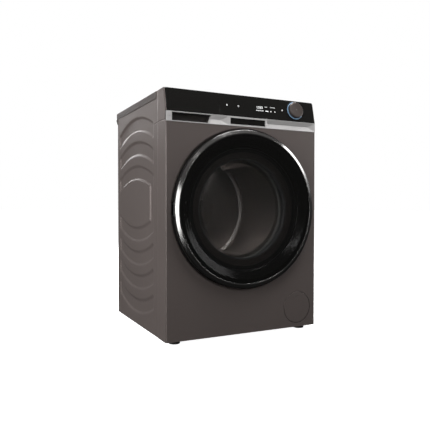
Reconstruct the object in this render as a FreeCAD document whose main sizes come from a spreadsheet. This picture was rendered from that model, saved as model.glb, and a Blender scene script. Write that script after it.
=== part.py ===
import FreeCAD, Part
import math
import os
import re
import Sketcher

# Front-loading washing machine, modelled in millimetres.
# +X is to the right of someone facing the machine, +Y points to the back, +Z is up.
# The origin is on the floor, under the middle of the whole machine.

V = FreeCAD.Vector

# Driving sizes: alias, value, what it is. "back" sizes are measured from the front panel's face.
SIZES = [
    ("cab_width", 598, "cabinet, outside width"),
    ("cab_height", 850, "floor to worktop"),
    ("cab_depth", 563, "front panel face to rear panel face"),
    ("top_over", 20.4, "worktop overhang behind the rear panel"),
    ("door_proud", 30, "door glass in front of the front panel"),
    ("foot_gap", 14, "floor to cabinet with the feet screwed in"),
    ("sheet", 1.2, "thickness of the cabinet's sheet steel"),
    ("seat", 0.3, "gap left where one piece sits on another"),
    ("corner", 4, "depth of the rounded front corner"),
    ("cheek", 90, "depth of the side panel's raised front cheek"),
    ("fascia_set", 17, "how far the fascia leans back"),
    ("fascia_rise", 79.5, "height of the fascia"),
    ("fascia_wall", 6, "thickness of the fascia moulding"),
    ("trim_rise", 32.8, "height of the bright trim bar"),
    ("trim_deep", 10, "depth of the fixed trim bar"),
    ("trim_proud", 0.6, "trim bar in front of the front panel"),
    ("label_left", -61, "left end of the dark label inset"),
    ("label_long", 139, "length of the dark label inset"),
    ("label_tall", 21, "height of the dark label inset"),
    ("label_deep", 1.5, "depth of the pocket for the label inset"),
    ("top_thick", 25, "thickness of the worktop"),
    ("board_inset", 12, "width of the worktop's surround"),
    ("board_thick", 14, "thickness of the worktop's board"),
    ("rail_tall", 22, "height of a cross rail"),
    ("rail_deep", 20, "depth of a cross rail"),
    ("rail_wall", 2, "thickness of a cross rail"),
    ("rail_front", 40, "front cross rail back from the front panel"),
    ("rail_mid", 310, "spring rail back from the front panel"),
    ("band_start", 123, "pressed bands start, back from the front"),
    ("band_long", 407, "length of a pressed band"),
    ("band_rise", 43, "rise of a pressed band's arc"),
    ("band_tall", 48, "height of a pressed band"),
    ("band_step", 90, "distance from one pressed band to the next"),
    ("band_top", 790, "top of the highest arched band"),
    ("band_low", 60, "bottom of the lowest hanging band"),
    ("band_deep", 3.5, "depth of a pressed band"),
    ("strip_wide", 34, "upright pressed strip in front of the plateau"),
    ("axis_height", 450, "drum and door centre above the floor"),
    ("recess_rad", 282, "door recess in the front panel, radius"),
    ("recess_deep", 12, "door recess, depth"),
    ("port_rad", 179, "porthole in the front panel, radius"),
    ("port_lip", 8, "lip of the porthole, depth"),
    ("door_rad", 277, "door, outside radius"),
    ("door_taper", 2.5, "how much the door's side wall draws in"),
    ("door_side", 17.8, "height of the door's side wall"),
    ("chrome_rad", 272.9, "bright ring, outside radius"),
    ("chrome_in", 258, "bright ring, inside radius"),
    ("chrome_low", 18.8, "bright ring's outer edge, in front of the panel"),
    ("chrome_high", 23.5, "bright ring's inner edge, in front of the panel"),
    ("chrome_seat", 14.7, "seat of the bright ring, in front of the panel"),
    ("glass_thick", 3, "cover glass thickness"),
    ("glass_edge", 23.4, "cover glass rim, in front of the panel"),
    ("mask_rad", 244, "inner edge of the glass ledge, radius"),
    ("funnel_rad", 216, "inner edge of the door frame, radius"),
    ("ring_rad", 250, "inner ring, outside radius"),
    ("ring_lip", 200, "inner ring, inside radius"),
    ("ring_front", 0.7, "inner ring's front face in front of the panel face"),
    ("ring_back", 9.7, "inner ring's back face behind the panel face"),
    ("bowl_flange", 213.2, "glass bowl's flange, radius"),
    ("bowl_mouth", 166, "glass bowl's mouth, inside radius"),
    ("bowl_end", 122, "glass bowl's bottom, inside radius"),
    ("bowl_wall", 4, "glass bowl thickness"),
    ("bowl_deep", 98, "glass bowl, depth behind the panel face"),
    ("bowl_seat", 1.3, "glass bowl's flange behind the panel face"),
    ("bowl_turn", 18, "slanted corner at the bowl's bottom, across"),
    ("bowl_drop", 12, "slanted corner at the bowl's bottom, along"),
    ("bowl_crown", 4, "rise of the bowl's bottom"),
    ("hinge_out", 270, "hinge axis left of the middle"),
    ("hinge_proud", 8, "hinge axis in front of the panel"),
    ("pin_rad", 3, "hinge pin radius"),
    ("run_gap", 0.05, "radial clearance of a running fit"),
    ("knuckle_rad", 4.5, "hinge knuckle radius"),
    ("leaf_tall", 35, "height of the door's hinge leaf"),
    ("arm_tall", 6, "thickness of a hinge bracket arm"),
    ("notch_in", 225, "hinge notch's inner wall, left of the middle"),
    ("notch_side", 4, "room above and below the hinge in its notch"),
    ("notch_deep", 16, "hinge notch in front of the panel face"),
    ("leaf_thick", 3.5, "thickness of the door's hinge leaf"),
    ("plate_thick", 2, "thickness of the hinge bracket's plate"),
    ("chrome_step", 3.5, "bright ring's rounded inner edge"),
    ("ledge_gap", 0.5, "door frame's ledge inside the bright ring"),
    ("grip_in", 252, "finger notch's inner wall, right of the middle"),
    ("grip_tall", 90, "height of the finger notch"),
    ("grip_deep", 11, "depth of the finger notch in front of the panel"),
    ("door_back", 1, "door frame's back in front of the panel face"),
    ("door_skirt", 2, "door frame's rim behind the panel face"),
    ("frame_lap", 12, "door frame's back plate beyond the inner ring"),
    ("funnel_lip", 3, "thickness of the door frame at its inner edge"),
    ("hook_out", 241, "latch hook right of the middle"),
    ("hook_pivot", 4, "latch hook's pivot behind the panel face"),
    ("hook_root", 4.1, "latch hook's root in front of its pivot"),
    ("hook_axle", 2, "latch hook's axle radius"),
    ("hook_barb", 4, "latch hook's barb"),
    ("barb_thick", 6, "thickness of the barb"),
    ("hook_room", 30, "width of the hook's room in the inner ring"),
    ("hook_long", 34, "latch hook's reach behind the panel face"),
    ("hook_tall", 16, "height of the latch hook"),
    ("hook_thick", 8, "thickness of the latch hook"),
    ("slot_wide", 24, "latch slot width"),
    ("slot_tall", 30, "latch slot height"),
    ("lock_deep", 25, "depth of the lock's block"),
    ("lock_wall", 8, "lock's block beside its slot"),
    ("lock_tall", 70, "height of the lock's block"),
    ("service_x", 219, "service flap right of the middle"),
    ("flap_rise", 29.5, "service flap's lowest edge above the floor"),
    ("flap_rad", 57.5, "service flap radius"),
    ("flap_gap", 1, "gap round the service flap"),
    ("flap_thick", 2.5, "service flap thickness"),
    ("collar_wall", 2.2, "wall of the service flap's snap-in collar"),
    ("collar_deep", 8, "service flap's collar, depth behind the panel face"),
    ("niche_wall", 1.5, "service niche wall"),
    ("niche_lap", 7.5, "service niche's flange behind the front panel"),
    ("niche_deep", 44, "service niche depth"),
    ("neck_rad", 32, "filter chamber, outside radius"),
    ("neck_wall", 3, "filter chamber wall"),
    ("neck_out", 6, "filter chamber's neck in front of the niche's floor"),
    ("chamber_long", 110, "filter chamber length"),
    ("pump_long", 80, "drain pump motor length"),
    ("cap_thick", 11, "filter cap thickness"),
    ("cap_grip", 22, "filter cap's grip in front of its disc"),
    ("cap_bar_wide", 10, "filter cap's grip bar width"),
    ("cap_bar_long", 40, "filter cap's grip bar length"),
    ("basket_long", 72, "filter basket length"),
    ("basket_wall", 2, "filter basket wall"),
    ("basket_gap", 3, "gap round the filter basket in its chamber"),
    ("pump_foot", 40, "pump foot width"),
    ("pump_foot_back", 50, "pump foot behind the front of the chamber"),
    ("drawer_right", -99.7, "right end of the detergent drawer's front"),
    ("drawer_left", -292.5, "left wall of the dispenser housing"),
    ("housing_rise", 4.3, "bottom of the dispenser housing above the trim bar's lower edge"),
    ("housing_tall", 59, "height of the dispenser housing"),
    ("housing_long", 300, "back of the dispenser housing"),
    ("housing_wall", 2, "dispenser housing wall"),
    ("tray_gap", 1.5, "gap round the drawer tray"),
    ("tray_long", 258, "drawer tray length"),
    ("tray_wall", 2, "drawer tray wall"),
    ("tray_shelf", 24, "solid shelf at the back of the tray"),
    ("pull_deep", 30, "depth of the drawer pull"),
    ("pull_left", -277, "left end of the pull recess"),
    ("pull_right", -134, "right end of the pull recess, top"),
    ("pull_slant", 11, "slant of the pull recess's right end"),
    ("pull_rim", 5, "rim above and below the pull recess"),
    ("pull_floor", 3, "wall behind the pull recess"),
    ("tab_wide", 20, "release tab width"),
    ("tab_deep", 12, "release tab depth"),
    ("tab_travel", 3.5, "release tab travel"),
    ("dial_x", 213, "dial right of the middle"),
    ("dial_up", 42.4, "dial's centre up the fascia's slope"),
    ("dial_rad", 29.5, "dial radius"),
    ("dial_proud", 12, "dial in front of the fascia"),
    ("dial_stem", 8, "dial stem radius"),
    ("lamp_wide", 3, "width of the lit ring round the dial"),
    ("lamp_proud", 1.5, "lit ring in front of the fascia"),
    ("board_left", 20, "left end of the control board"),
    ("board_long", 185, "control board length"),
    ("board_tall", 36, "control board height"),
    ("board_wall", 1.6, "control board thickness"),
    ("tub_rad", 262, "tub, outside radius"),
    ("tub_wall", 3, "tub wall"),
    ("tub_front_y", 62, "tub's front wall back from the panel face"),
    ("tub_split", 230, "joint between the tub's halves"),
    ("tub_rear_y", 463, "inside of the tub's rear wall"),
    ("tub_flange", 8, "height of the tub's joint flange"),
    ("tub_neck", 181.7, "tub's front neck, outside radius"),
    ("tub_lip", 10, "tub's front neck, length in front of the front wall"),
    ("flange_thick", 6, "thickness of each half of the tub's joint flange"),
    ("gasket_wall", 5, "gasket wall"),
    ("gasket_fold", 15, "gasket's fold outside the tub's neck"),
    ("gasket_front", 12, "length of the gasket's front sleeve"),
    ("gasket_bend", 8, "length of the gasket's slanted part"),
    ("gasket_back", 38, "back of the gasket's fold behind the recess"),
    ("drum_rad", 240, "drum, inside radius"),
    ("drum_wall", 1.2, "drum wall"),
    ("drum_front_y", 69, "drum's front wall back from the panel face"),
    ("drum_long", 381, "drum length"),
    ("drum_mouth", 168, "drum's mouth radius"),
    ("lifter_tall", 46, "lifter height"),
    ("lifter_wide", 64, "lifter width at its foot"),
    ("lifter_top", 24, "lifter width at its crest"),
    ("lifter_wall", 3, "lifter wall"),
    ("lifter_long", 330, "lifter length"),
    ("lifter_turn", 35, "first lifter's angle from straight up"),
    ("shaft_rad", 15, "drum shaft radius"),
    ("hub_rad", 45, "tub's bearing hub, outside radius"),
    ("bearing_rad", 31, "bearing seat radius"),
    ("bearing_long", 14, "bearing width"),
    ("hub_short", 3, "bearing hub stops short of the pulleys"),
    ("spider_thick", 8, "drum spider thickness"),
    ("spider_arm", 36, "width of a spider arm"),
    ("pulley_y", 502, "front of the pulleys back from the panel face"),
    ("pulley_wide", 14, "pulley width"),
    ("pulley_rad", 150, "drum pulley radius"),
    ("motor_z", 130, "motor axis above the floor"),
    ("motor_rad", 45, "motor body radius"),
    ("motor_y", 330, "front of the motor back from the panel face"),
    ("motor_long", 150, "motor body length"),
    ("spindle_rad", 6, "motor spindle radius"),
    ("motor_pulley_rad", 14, "motor pulley radius"),
    ("belt_thick", 3, "belt thickness"),
    ("belt_wide", 10, "belt width"),
    ("heater_rad", 4, "heating element rod radius"),
    ("heater_apart", 36, "distance between the element's two rods"),
    ("heater_long", 212, "heating element length"),
    ("ring_weight_in", 205, "front counterweight, inside radius"),
    ("ring_weight_out", 250, "front counterweight, outside radius"),
    ("ring_weight_thick", 21, "front counterweight thickness"),
    ("block_left", -60, "left end of the top counterweight"),
    ("block_wide", 220, "top counterweight width"),
    ("block_top", 728, "top of the top counterweight"),
    ("block_y", 120, "top counterweight back from the panel face"),
    ("block_long", 300, "top counterweight length"),
    ("spring_x", 230, "suspension springs either side of the middle"),
    ("spring_rad", 10, "suspension spring, outside radius"),
    ("spring_wire", 3, "suspension spring wire"),
    ("ear_z", 622, "tub ears above the floor"),
    ("ear_thick", 13, "tub ear thickness"),
    ("ear_root", 190, "tub ears start either side of the middle"),
    ("ear_past", 15, "tub ear beyond its spring"),
    ("damper_x", 150, "dampers either side of the middle"),
    ("damper_y", 150, "dampers back from the panel face"),
    ("damper_rad", 14, "damper cylinder radius"),
    ("damper_tall", 105, "damper cylinder height"),
    ("rod_rad", 9, "damper rod radius"),
    ("rod_low", 60, "lower end of a damper rod above the floor"),
    ("tray_rim", 12, "base tray rim height"),
    ("pan_wall", 2, "base tray wall"),
    ("foot_rad", 20, "foot radius"),
    ("foot_thick", 10, "foot thickness"),
    ("stem_rad", 5, "foot stem radius"),
    ("stem_top", 32, "top of a foot's stem above the floor"),
    ("foot_in", 45, "feet in from the cabinet's side"),
    ("foot_back", 40, "feet in from the cabinet's front and back"),
    ("nut_size", 50, "foot socket block"),
    ("nut_tall", 12, "foot socket block height"),
    ("opening_wide", 330, "rear service opening width"),
    ("opening_tall", 350, "rear service opening height"),
    ("cover_lap", 10, "service cover's lap round its opening"),
    ("screw_rad", 4, "screw head radius"),
    ("screw_tall", 2.2, "screw head height"),
    ("screw_stem", 1.6, "screw stem radius"),
    ("screw_long", 9, "screw stem length"),
    ("valve_x", 225, "inlet valve right of the middle"),
    ("valve_z", 780, "inlet valve above the floor"),
    ("valve_size", 40, "inlet valve body"),
    ("spigot_rad", 13.2, "inlet spigot radius, a 3/4 inch thread"),
    ("spigot_out", 14, "inlet spigot behind the rear panel"),
    ("hole_gap", 0.8, "gap round a fitting in its hole"),
    ("spigot_root", 0.5, "inlet spigot's root collar behind the rear panel"),
    ("spigot_step", 0.4, "step from the spigot up to its root collar"),
    ("coil_rad", 13, "inlet valve's coil radius"),
    ("coil_long", 30, "inlet valve's coil height"),
    ("outlet_x", -225, "drain outlet from the middle"),
    ("outlet_z", 700, "drain outlet above the floor"),
    ("outlet_rad", 9.5, "drain outlet radius"),
    ("outlet_wall", 2, "drain outlet wall"),
    ("outlet_out", 18, "drain outlet behind the rear panel"),
    ("outlet_in", 30, "drain outlet inside the cabinet"),
    ("collar_rad", 18, "drain outlet collar radius"),
    ("collar_thick", 2, "collar thickness"),
    ("gland_z", 785, "cord gland above the floor"),
    ("gland_rad", 8, "cord gland neck radius"),
    ("gland_bore", 4, "cord gland bore radius"),
    ("gland_flange", 11, "cord gland flange radius"),
    ("gland_thick", 3, "cord gland flange thickness"),
    ("gland_in", 8, "cord gland inside the cabinet"),
    ("past", 5, "how far a cutting shape runs past what it cuts"),
]

# Places worked out from the driving sizes.
PLACES = {
    "half_w": "cab_width / 2",
    "front": "door_proud - (cab_depth + door_proud + top_over) / 2",
    "rear": "front + cab_depth",
    "rear_in": "rear - sheet",
    "inner_w": "half_w - sheet - seat",
    "rim_z": "cab_height - top_thick",
    "trim_hi": "cab_height - fascia_rise",
    "trim_lo": "trim_hi - trim_rise",
    "floor_z": "foot_gap + pan_wall",
    "band_end": "band_start + band_long",
    "band_mid": "band_start + band_long / 2",
    "band_curve": "(band_long * band_long / 4 + band_rise * band_rise) / (2 * band_rise)",
    "recess_floor": "front + recess_deep",
    "notch_half": "leaf_tall / 2 + seat + arm_tall + notch_side",
    "niche_rad": "flap_rad + flap_gap",
    "service_z": "flap_rad + flap_rise",
    "housing_low": "trim_lo + housing_rise",
    "niche_front": "sheet + seat",
    "housing_right": "drawer_right - 1.5",
    "tray_left": "drawer_left + housing_wall + tray_gap",
    "tray_right": "housing_right - housing_wall - tray_gap",
    "tray_y": "front + pull_deep + seat",
    "tray_z": "housing_low + housing_wall + tray_gap",
    "tray_top": "housing_low + housing_tall - housing_wall - tray_gap * 2",
    "tray_back": "tray_y + tray_long",
    "rail_z": "rim_z - seat - rail_tall",
    "pulley_back": "pulley_y + pulley_wide",
    "lifter_foot": "sqrt((drum_rad - 0.45) * (drum_rad - 0.45) - lifter_wide * lifter_wide / 4)",
    "heater_drop": "(tub_rad - tub_wall + drum_rad + drum_wall) / 2",
    "rod_top": "axis_height - seat - 0.1 - sqrt(tub_rad * tub_rad - (damper_x - rod_rad) * (damper_x - rod_rad))",
}

doc = FreeCAD.newDocument("WashingMachine")
sheet = doc.addObject("Spreadsheet::Sheet", "Sizes")
for row, (alias, value, meaning) in enumerate(SIZES, start=1):
    sheet.set("A%d" % row, meaning)
    sheet.set("B%d" % row, str(value))
    sheet.setAlias("B%d" % row, alias)
doc.recompute()

ALIASES = {alias for alias, value, meaning in SIZES}
NODES = []


def bound(text):
    """Turns the names of sizes and places in a formula into spreadsheet references."""
    def swap(match):
        word = match.group(0)
        if word in PLACES:
            return "(" + bound(PLACES[word]) + ")"
        if word in ALIASES:
            return "Sizes." + word
        return word
    return re.sub(r"[a-z_]+", swap, str(text))


def number(text):
    """The present value of a formula."""
    return float(sheet.evalExpression(bound(text)))


def node(thing, label):
    """Marks a finished sub-part and gives it its name."""
    thing.Label = label
    NODES.append(thing)
    return thing


def put(thing, x, y, z, turn=None):
    """Binds the place of an object to three formulas."""
    thing.Placement = FreeCAD.Placement(V(0, 0, 0), turn or FreeCAD.Rotation())
    for side, text in zip("xyz", (x, y, z)):
        thing.setExpression("Placement.Base." + side, bound(text))
    return thing


def block(x, y, z, long_x, long_y, long_z):
    """A box from its low corner and its three sizes."""
    box = doc.addObject("Part::Box", "Block")
    for prop, text in (("Length", long_x), ("Width", long_y), ("Height", long_z)):
        box.setExpression(prop, bound(text))
    return put(box, x, y, z)


TURNS = {
    "x": FreeCAD.Rotation(V(0, 1, 0), 90),
    "y": FreeCAD.Rotation(V(1, 0, 0), -90),
    "z": FreeCAD.Rotation(),
}


def rod(axis, x, y, z, radius, long):
    """A cylinder that starts at a point and runs along +X, +Y or +Z."""
    cylinder = doc.addObject("Part::Cylinder", "Rod")
    cylinder.setExpression("Radius", bound(radius))
    cylinder.setExpression("Height", bound(long))
    return put(cylinder, x, y, z, TURNS[axis])


def joined(*things):
    """Several shapes fused into one."""
    fuse = doc.addObject("Part::MultiFuse", "Joined")
    fuse.Shapes = list(things)
    return fuse


def without(base, *tools):
    """A shape with others cut out of it."""
    cut = doc.addObject("Part::Cut", "Without")
    cut.Base = base
    cut.Tool = tools[0] if len(tools) == 1 else joined(*tools)
    return cut


def group(*things):
    """Separate solids kept side by side in one sub-part."""
    compound = doc.addObject("Part::Compound", "Group")
    compound.Links = list(things)
    return compound


def outline(body, plane, points):
    """A closed sketch. A point is (x, y), or (x, y, radius, side) where an arc leads to the next one.

    side is +1 where the arc bulges to the left of the way from this point to the next, else -1.
    """
    sketch = body.newObject("Sketcher::SketchObject", "Outline")
    origin = [item for item in body.Origin.OriginFeatures if item.Role == plane][0]
    sketch.AttachmentSupport = [(origin, "")]
    sketch.MapMode = "FlatFace"
    spots = [V(number(point[0]), number(point[1]), 0) for point in points]
    count = len(spots)
    ends = []
    for index, point in enumerate(points):
        start, stop = spots[index], spots[(index + 1) % count]
        if len(point) == 2:
            sketch.addGeometry(Part.LineSegment(start, stop), False)
            ends.append((1, 2))
            continue
        radius, side = number(point[2]), point[3]
        chord = stop - start
        left = V(-chord.y, chord.x, 0).normalize() * side
        rise = radius - math.sqrt(radius * radius - chord.Length * chord.Length / 4)
        middle = (start + stop) * 0.5 + left * rise
        curve = Part.Arc(start, middle, stop).toShape().Curve
        centre = curve.Center
        angles = [math.atan2(spot.y - centre.y, spot.x - centre.x) for spot in (start, stop)]
        if side > 0:
            angles.reverse()
        circle = Part.Circle(centre, V(0, 0, 1), radius)
        sketch.addGeometry(Part.ArcOfCircle(circle, angles[0], angles[1]), False)
        ends.append((2, 1) if side > 0 else (1, 2))
    for index in range(count):
        after = (index + 1) % count
        sketch.addConstraint(
            Sketcher.Constraint("Coincident", index, ends[index][1], after, ends[after][0]))
    for index, point in enumerate(points):
        if len(point) == 4:
            place = sketch.addConstraint(Sketcher.Constraint("Radius", index, number(point[2])))
            sketch.setExpression("Constraints[%d]" % place, bound(point[2]))
        for kind, text in (("DistanceX", point[0]), ("DistanceY", point[1])):
            place = sketch.addConstraint(
                Sketcher.Constraint(kind, -1, 1, index, ends[index][0], number(text)))
            sketch.setExpression("Constraints[%d]" % place, bound(text))
    return sketch


def turned(points, x, y, z, upright=False):
    """A body turned about a front-to-back axis, or an upright one. Points are (radius, along)."""
    body = doc.addObject("PartDesign::Body", "Turned")
    profile = outline(body, "XZ_Plane" if upright else "XY_Plane", points)
    spin = body.newObject("PartDesign::Revolution", "Spin")
    spin.Profile = profile
    spin.ReferenceAxis = (profile, ["V_Axis"])
    spin.Angle = 360
    return put(body, x, y, z)


def padded(plane, points, x, y, z, long):
    """A body from an outline: XY_Plane grows up, XZ_Plane to the back, YZ_Plane to the right."""
    body = doc.addObject("PartDesign::Body", "Padded")
    pad = body.newObject("PartDesign::Pad", "Pad")
    pad.Profile = outline(body, plane, points)
    pad.Reversed = plane == "XZ_Plane"
    pad.setExpression("Length", bound(long))
    return put(body, x, y, z)


def rectangle(low_x, low_y, high_x, high_y):
    return [(low_x, low_y), (high_x, low_y), (high_x, high_y), (low_x, high_y)]


# ---------------------------------------------------------------- cabinet

def side_panel(label, side):
    """A side wall: flat sheet with arched bands pressed inwards above and below a plateau."""
    wall = [
        ("front + corner", "foot_gap"),
        ("rear", "foot_gap"),
        ("rear", "rim_z - seat"),
        ("front + cheek", "rim_z - seat"),
        ("front + cheek", "cab_height - 1"),
        ("front + corner + fascia_set", "cab_height - 1"),
        ("front + corner", "trim_hi"),
    ]
    outside = "half_w * %d" % side

    def slab(points, deep):
        start = outside if side < 0 else "half_w - (%s)" % deep
        return padded("YZ_Plane", points, start, 0, 0, deep)

    def band(edge_z, way, grow):
        """One band: way is +1 for an arch and -1 for its mirror; grow widens it all round."""
        low, high = "front + band_start - %s" % grow, "front + band_end + %s" % grow
        outer = "%s + (%s - band_rise) * %d" % (edge_z, grow, way)
        inner = "%s - (%s + band_rise + band_tall) * %d" % (edge_z, grow, way)
        return [(low, inner, "band_curve", way), (high, inner),
                (high, outer, "band_curve", -way), (low, outer)]

    def strip(grow):
        return rectangle("front + band_start - %s" % grow,
                         "band_low + band_step * 3 + band_rise - %s" % grow,
                         "front + band_start + strip_wide + %s" % grow,
                         "band_top - band_step * 2 - band_rise + %s" % grow)

    def pressings(grow, deep):
        arches = [band("(band_top - band_step * %d)" % step, 1, grow) for step in range(3)]
        bowls = [band("(band_low + band_step * %d)" % step, -1, grow) for step in range(4)]
        return [slab(points, deep) for points in arches + bowls + [strip(grow)]]

    pans = joined(slab(wall, "sheet"), *pressings("sheet", "band_deep + sheet"))
    return node(without(pans, *pressings("0", "band_deep")), label)


side_panel("left_side_panel", -1)
side_panel("right_side_panel", 1)


def fitting_hole(x, z, radius):
    """A hole through the rear panel."""
    return rod("y", x, "rear - past", z, radius + " + hole_gap", "past * 2")


def screw_spots():
    """The service cover's screws: x and z of each."""
    lap = "(opening_wide + cover_lap) / 2"
    tall = "(opening_tall + cover_lap) / 2"
    return [("%s * %d" % (lap, side), "axis_height + %s * %d" % (tall, level))
            for side in (-1, 1) for level in (-1, 0, 1)]


def screw_holes():
    return [rod("y", x, "rear - screw_long", z, "screw_stem + run_gap", "screw_long * 2")
            for x, z in screw_spots()]


rear_plate = block("-inner_w", "rear_in", "foot_gap", "inner_w * 2", "sheet", "rim_z - seat - foot_gap")
rear_window = block("-opening_wide / 2", "rear_in - past", "axis_height - opening_tall / 2",
                    "opening_wide", "past * 2", "opening_tall")
node(without(rear_plate, rear_window, *screw_holes(),
             fitting_hole("valve_x", "valve_z", "spigot_rad"),
             fitting_hole("outlet_x", "outlet_z", "outlet_rad"),
             fitting_hole("outlet_x", "gland_z", "gland_rad")), "rear_panel")

service_plate = block("-opening_wide / 2 - cover_lap", "rear", "axis_height - opening_tall / 2 - cover_lap",
                      "opening_wide + cover_lap * 2", "sheet", "opening_tall + cover_lap * 2")
node(without(service_plate, *screw_holes()), "rear_service_cover")


def screw(x, z):
    """A pan-head screw whose head stands on the service cover."""
    profile = [(0, "-screw_long"), ("screw_stem", "-screw_long"), ("screw_stem", 0), ("screw_rad", 0),
               ("screw_rad", "screw_tall * 0.6"), ("screw_rad * 0.6", "screw_tall"), (0, "screw_tall")]
    return turned(profile, x, "rear + sheet", z)


node(group(*[screw(x, z) for x, z in screw_spots()]), "rear_screws")


FOOT_SPOTS = {
    "front_left_foot": ("foot_in - half_w", "front + foot_back"),
    "front_right_foot": ("half_w - foot_in", "front + foot_back"),
    "rear_left_foot": ("foot_in - half_w", "rear - foot_back"),
    "rear_right_foot": ("half_w - foot_in", "rear - foot_back"),
}


def foot_socket(x, y):
    return block(x + " - nut_size / 2", y + " - nut_size / 2", "foot_gap",
                 "nut_size", "nut_size", "nut_tall")


def foot_bore(x, y):
    return rod("z", x, y, 0, "stem_rad + run_gap", "cab_height / 2")


def foot(label, x, y):
    """A levelling foot: rubber-faced pad and a stem that screws up into the base tray."""
    profile = [(0, 0), ("foot_rad", 0), ("foot_rad", "foot_thick * 0.6"),
               ("foot_rad * 0.7", "foot_thick"), ("stem_rad", "foot_thick"),
               ("stem_rad", "stem_top"), (0, "stem_top")]
    return node(turned(profile, x, y, 0, upright=True), label)


pan_long = "(cab_depth - corner - sheet - seat)"
pan_outer = block("-inner_w", "front + corner", "foot_gap", "inner_w * 2", pan_long, "tray_rim")
pan_inner = block("-inner_w + pan_wall", "front + corner + pan_wall", "floor_z",
                  "inner_w * 2 - pan_wall * 2", pan_long + " - pan_wall * 2", "tray_rim")
base_pan = without(pan_outer, pan_inner)
base_blocks = joined(base_pan, *[foot_socket(x, y) for x, y in FOOT_SPOTS.values()])
node(without(base_blocks, *[foot_bore(x, y) for x, y in FOOT_SPOTS.values()]), "base_tray")
for foot_label, (foot_x, foot_y) in FOOT_SPOTS.items():
    foot(foot_label, foot_x, foot_y)


def disc(radius, y, long, x="0", z="axis_height"):
    return rod("y", x, y, z, radius, long)


def front_panel():
    """The front sheet with rounded upright edges, the door recess and the service niche."""
    bend = "(corner - sheet - seat)"
    face = [("-half_w", "corner - seat"), ("-half_w", bend, bend, 1), ("-half_w + %s" % bend, 0),
            ("half_w - %s" % bend, 0, bend, 1), ("half_w", bend), ("half_w", "corner - seat"),
            ("half_w - sheet", "corner - seat"), ("half_w - sheet", bend),
            ("half_w - %s" % bend, "sheet"), ("-half_w + %s" % bend, "sheet"),
            ("-half_w + sheet", bend), ("-half_w + sheet", "corner - seat")]
    face.reverse()
    turned_face = []
    for index, point in enumerate(face):
        after = face[(index + 1) % len(face)]
        turned_face.append(point[:2] + (after[2], -after[3]) if len(after) == 4 else point[:2])
    plate = padded("XY_Plane", turned_face, 0, "front", "foot_gap", "trim_lo - seat - foot_gap")
    pan = turned([("recess_rad", 0), ("recess_rad + sheet", 0),
                  ("recess_rad + sheet", "recess_deep + sheet"),
                  ("port_rad", "recess_deep + sheet"), ("port_rad", "recess_deep + port_lip"),
                  ("port_rad - sheet", "recess_deep + port_lip"),
                  ("port_rad - sheet", "recess_deep"), ("recess_rad", "recess_deep")],
                 0, "front", "axis_height")
    open_plate = without(plate, disc("recess_rad + seat", "front - past", "past * 2 + sheet"),
                         disc("niche_rad", "front - past", "past * 2 + sheet", "service_x", "service_z"))
    slot = block("hook_out - slot_wide / 2", "recess_floor - past", "axis_height - slot_tall / 2",
                 "slot_wide", "past * 2 + sheet", "slot_tall")
    return node(without(joined(open_plate, pan), slot), "front_panel")


front_panel()

# A moulded cup behind the front panel, whose floor the filter chamber's neck comes through.
node(turned([("niche_rad", "niche_front"), ("niche_rad + niche_lap", "niche_front"),
             ("niche_rad + niche_lap", "niche_front + niche_wall"),
             ("niche_rad + niche_wall", "niche_front + niche_wall"),
             ("niche_rad + niche_wall", "niche_deep + niche_wall"),
             ("neck_rad + seat * 2", "niche_deep + niche_wall"),
             ("neck_rad + seat * 2", "niche_deep"), ("niche_rad", "niche_deep")],
            "service_x", "front", "service_z"), "service_niche")


def rail(y):
    """A channel that lies open side up between the side panels."""
    channel = block("-inner_w", y, "rail_z", "inner_w * 2", "rail_deep", "rail_tall")
    hollow = block("-inner_w - past", y + " + rail_wall", "rail_z + rail_wall", "(inner_w + past) * 2",
                   "rail_deep - rail_wall * 2", "rail_tall")
    return without(channel, hollow)


node(group(rail("front + rail_front"), rail("front + rail_mid"), rail("rear_in - seat - rail_deep")),
     "top_cross_rails")

# The worktop's surround reaches forward between the side panels' cheeks.
deck_front = "front + fascia_set + fascia_wall + 1"
top_outline = [("-half_w", "front + cheek + seat"), ("-inner_w", "front + cheek + seat"),
               ("-inner_w", deck_front), ("inner_w", deck_front),
               ("inner_w", "front + cheek + seat"), ("half_w", "front + cheek + seat"),
               ("half_w", "rear + top_over"), ("-half_w", "rear + top_over")]
top_slab = padded("XY_Plane", top_outline, 0, 0, "rim_z", "top_thick")
top_pocket = block("-half_w + board_inset", deck_front + " + board_inset", "cab_height - board_thick",
                   "cab_width - board_inset * 2",
                   "rear + top_over - board_inset * 2 - (%s)" % deck_front, "board_thick + past")
node(without(top_slab, top_pocket), "worktop_surround")
node(block("-half_w + board_inset + seat", deck_front + " + board_inset + seat",
           "cab_height - board_thick", "cab_width - board_inset * 2 - seat * 2",
           "rear + top_over - board_inset * 2 - seat * 2 - (%s)" % deck_front,
           "board_thick"), "worktop_board")

# ---------------------------------------------------------------- fascia, trim and dial

LEAN = FreeCAD.Rotation(V(1, 0, 0), -math.degrees(math.atan2(number("fascia_set"), number("fascia_rise"))))
SLOPE = "sqrt(fascia_set * fascia_set + fascia_rise * fascia_rise)"


def on_fascia(thing, x, up):
    """Places an object on the leaning fascia: up is measured along its slope from the trim bar."""
    share = "(%s) / %s" % (up, SLOPE)
    return put(thing, x, "front + fascia_set * " + share, "trim_hi + fascia_rise * " + share, LEAN)


def leaning_slab(low_x, long):
    foot_y = "front + fascia_set * seat / fascia_rise"
    profile = [(foot_y, "trim_hi + seat"), ("front + fascia_set", "cab_height"),
               ("front + fascia_set + fascia_wall", "cab_height"),
               (foot_y + " + fascia_wall", "trim_hi + seat")]
    profile.reverse()
    return padded("YZ_Plane", profile, low_x, 0, 0, long)


def leaning_turned(points):
    return on_fascia(turned(points, 0, 0, 0), "dial_x", "dial_up")


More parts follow.
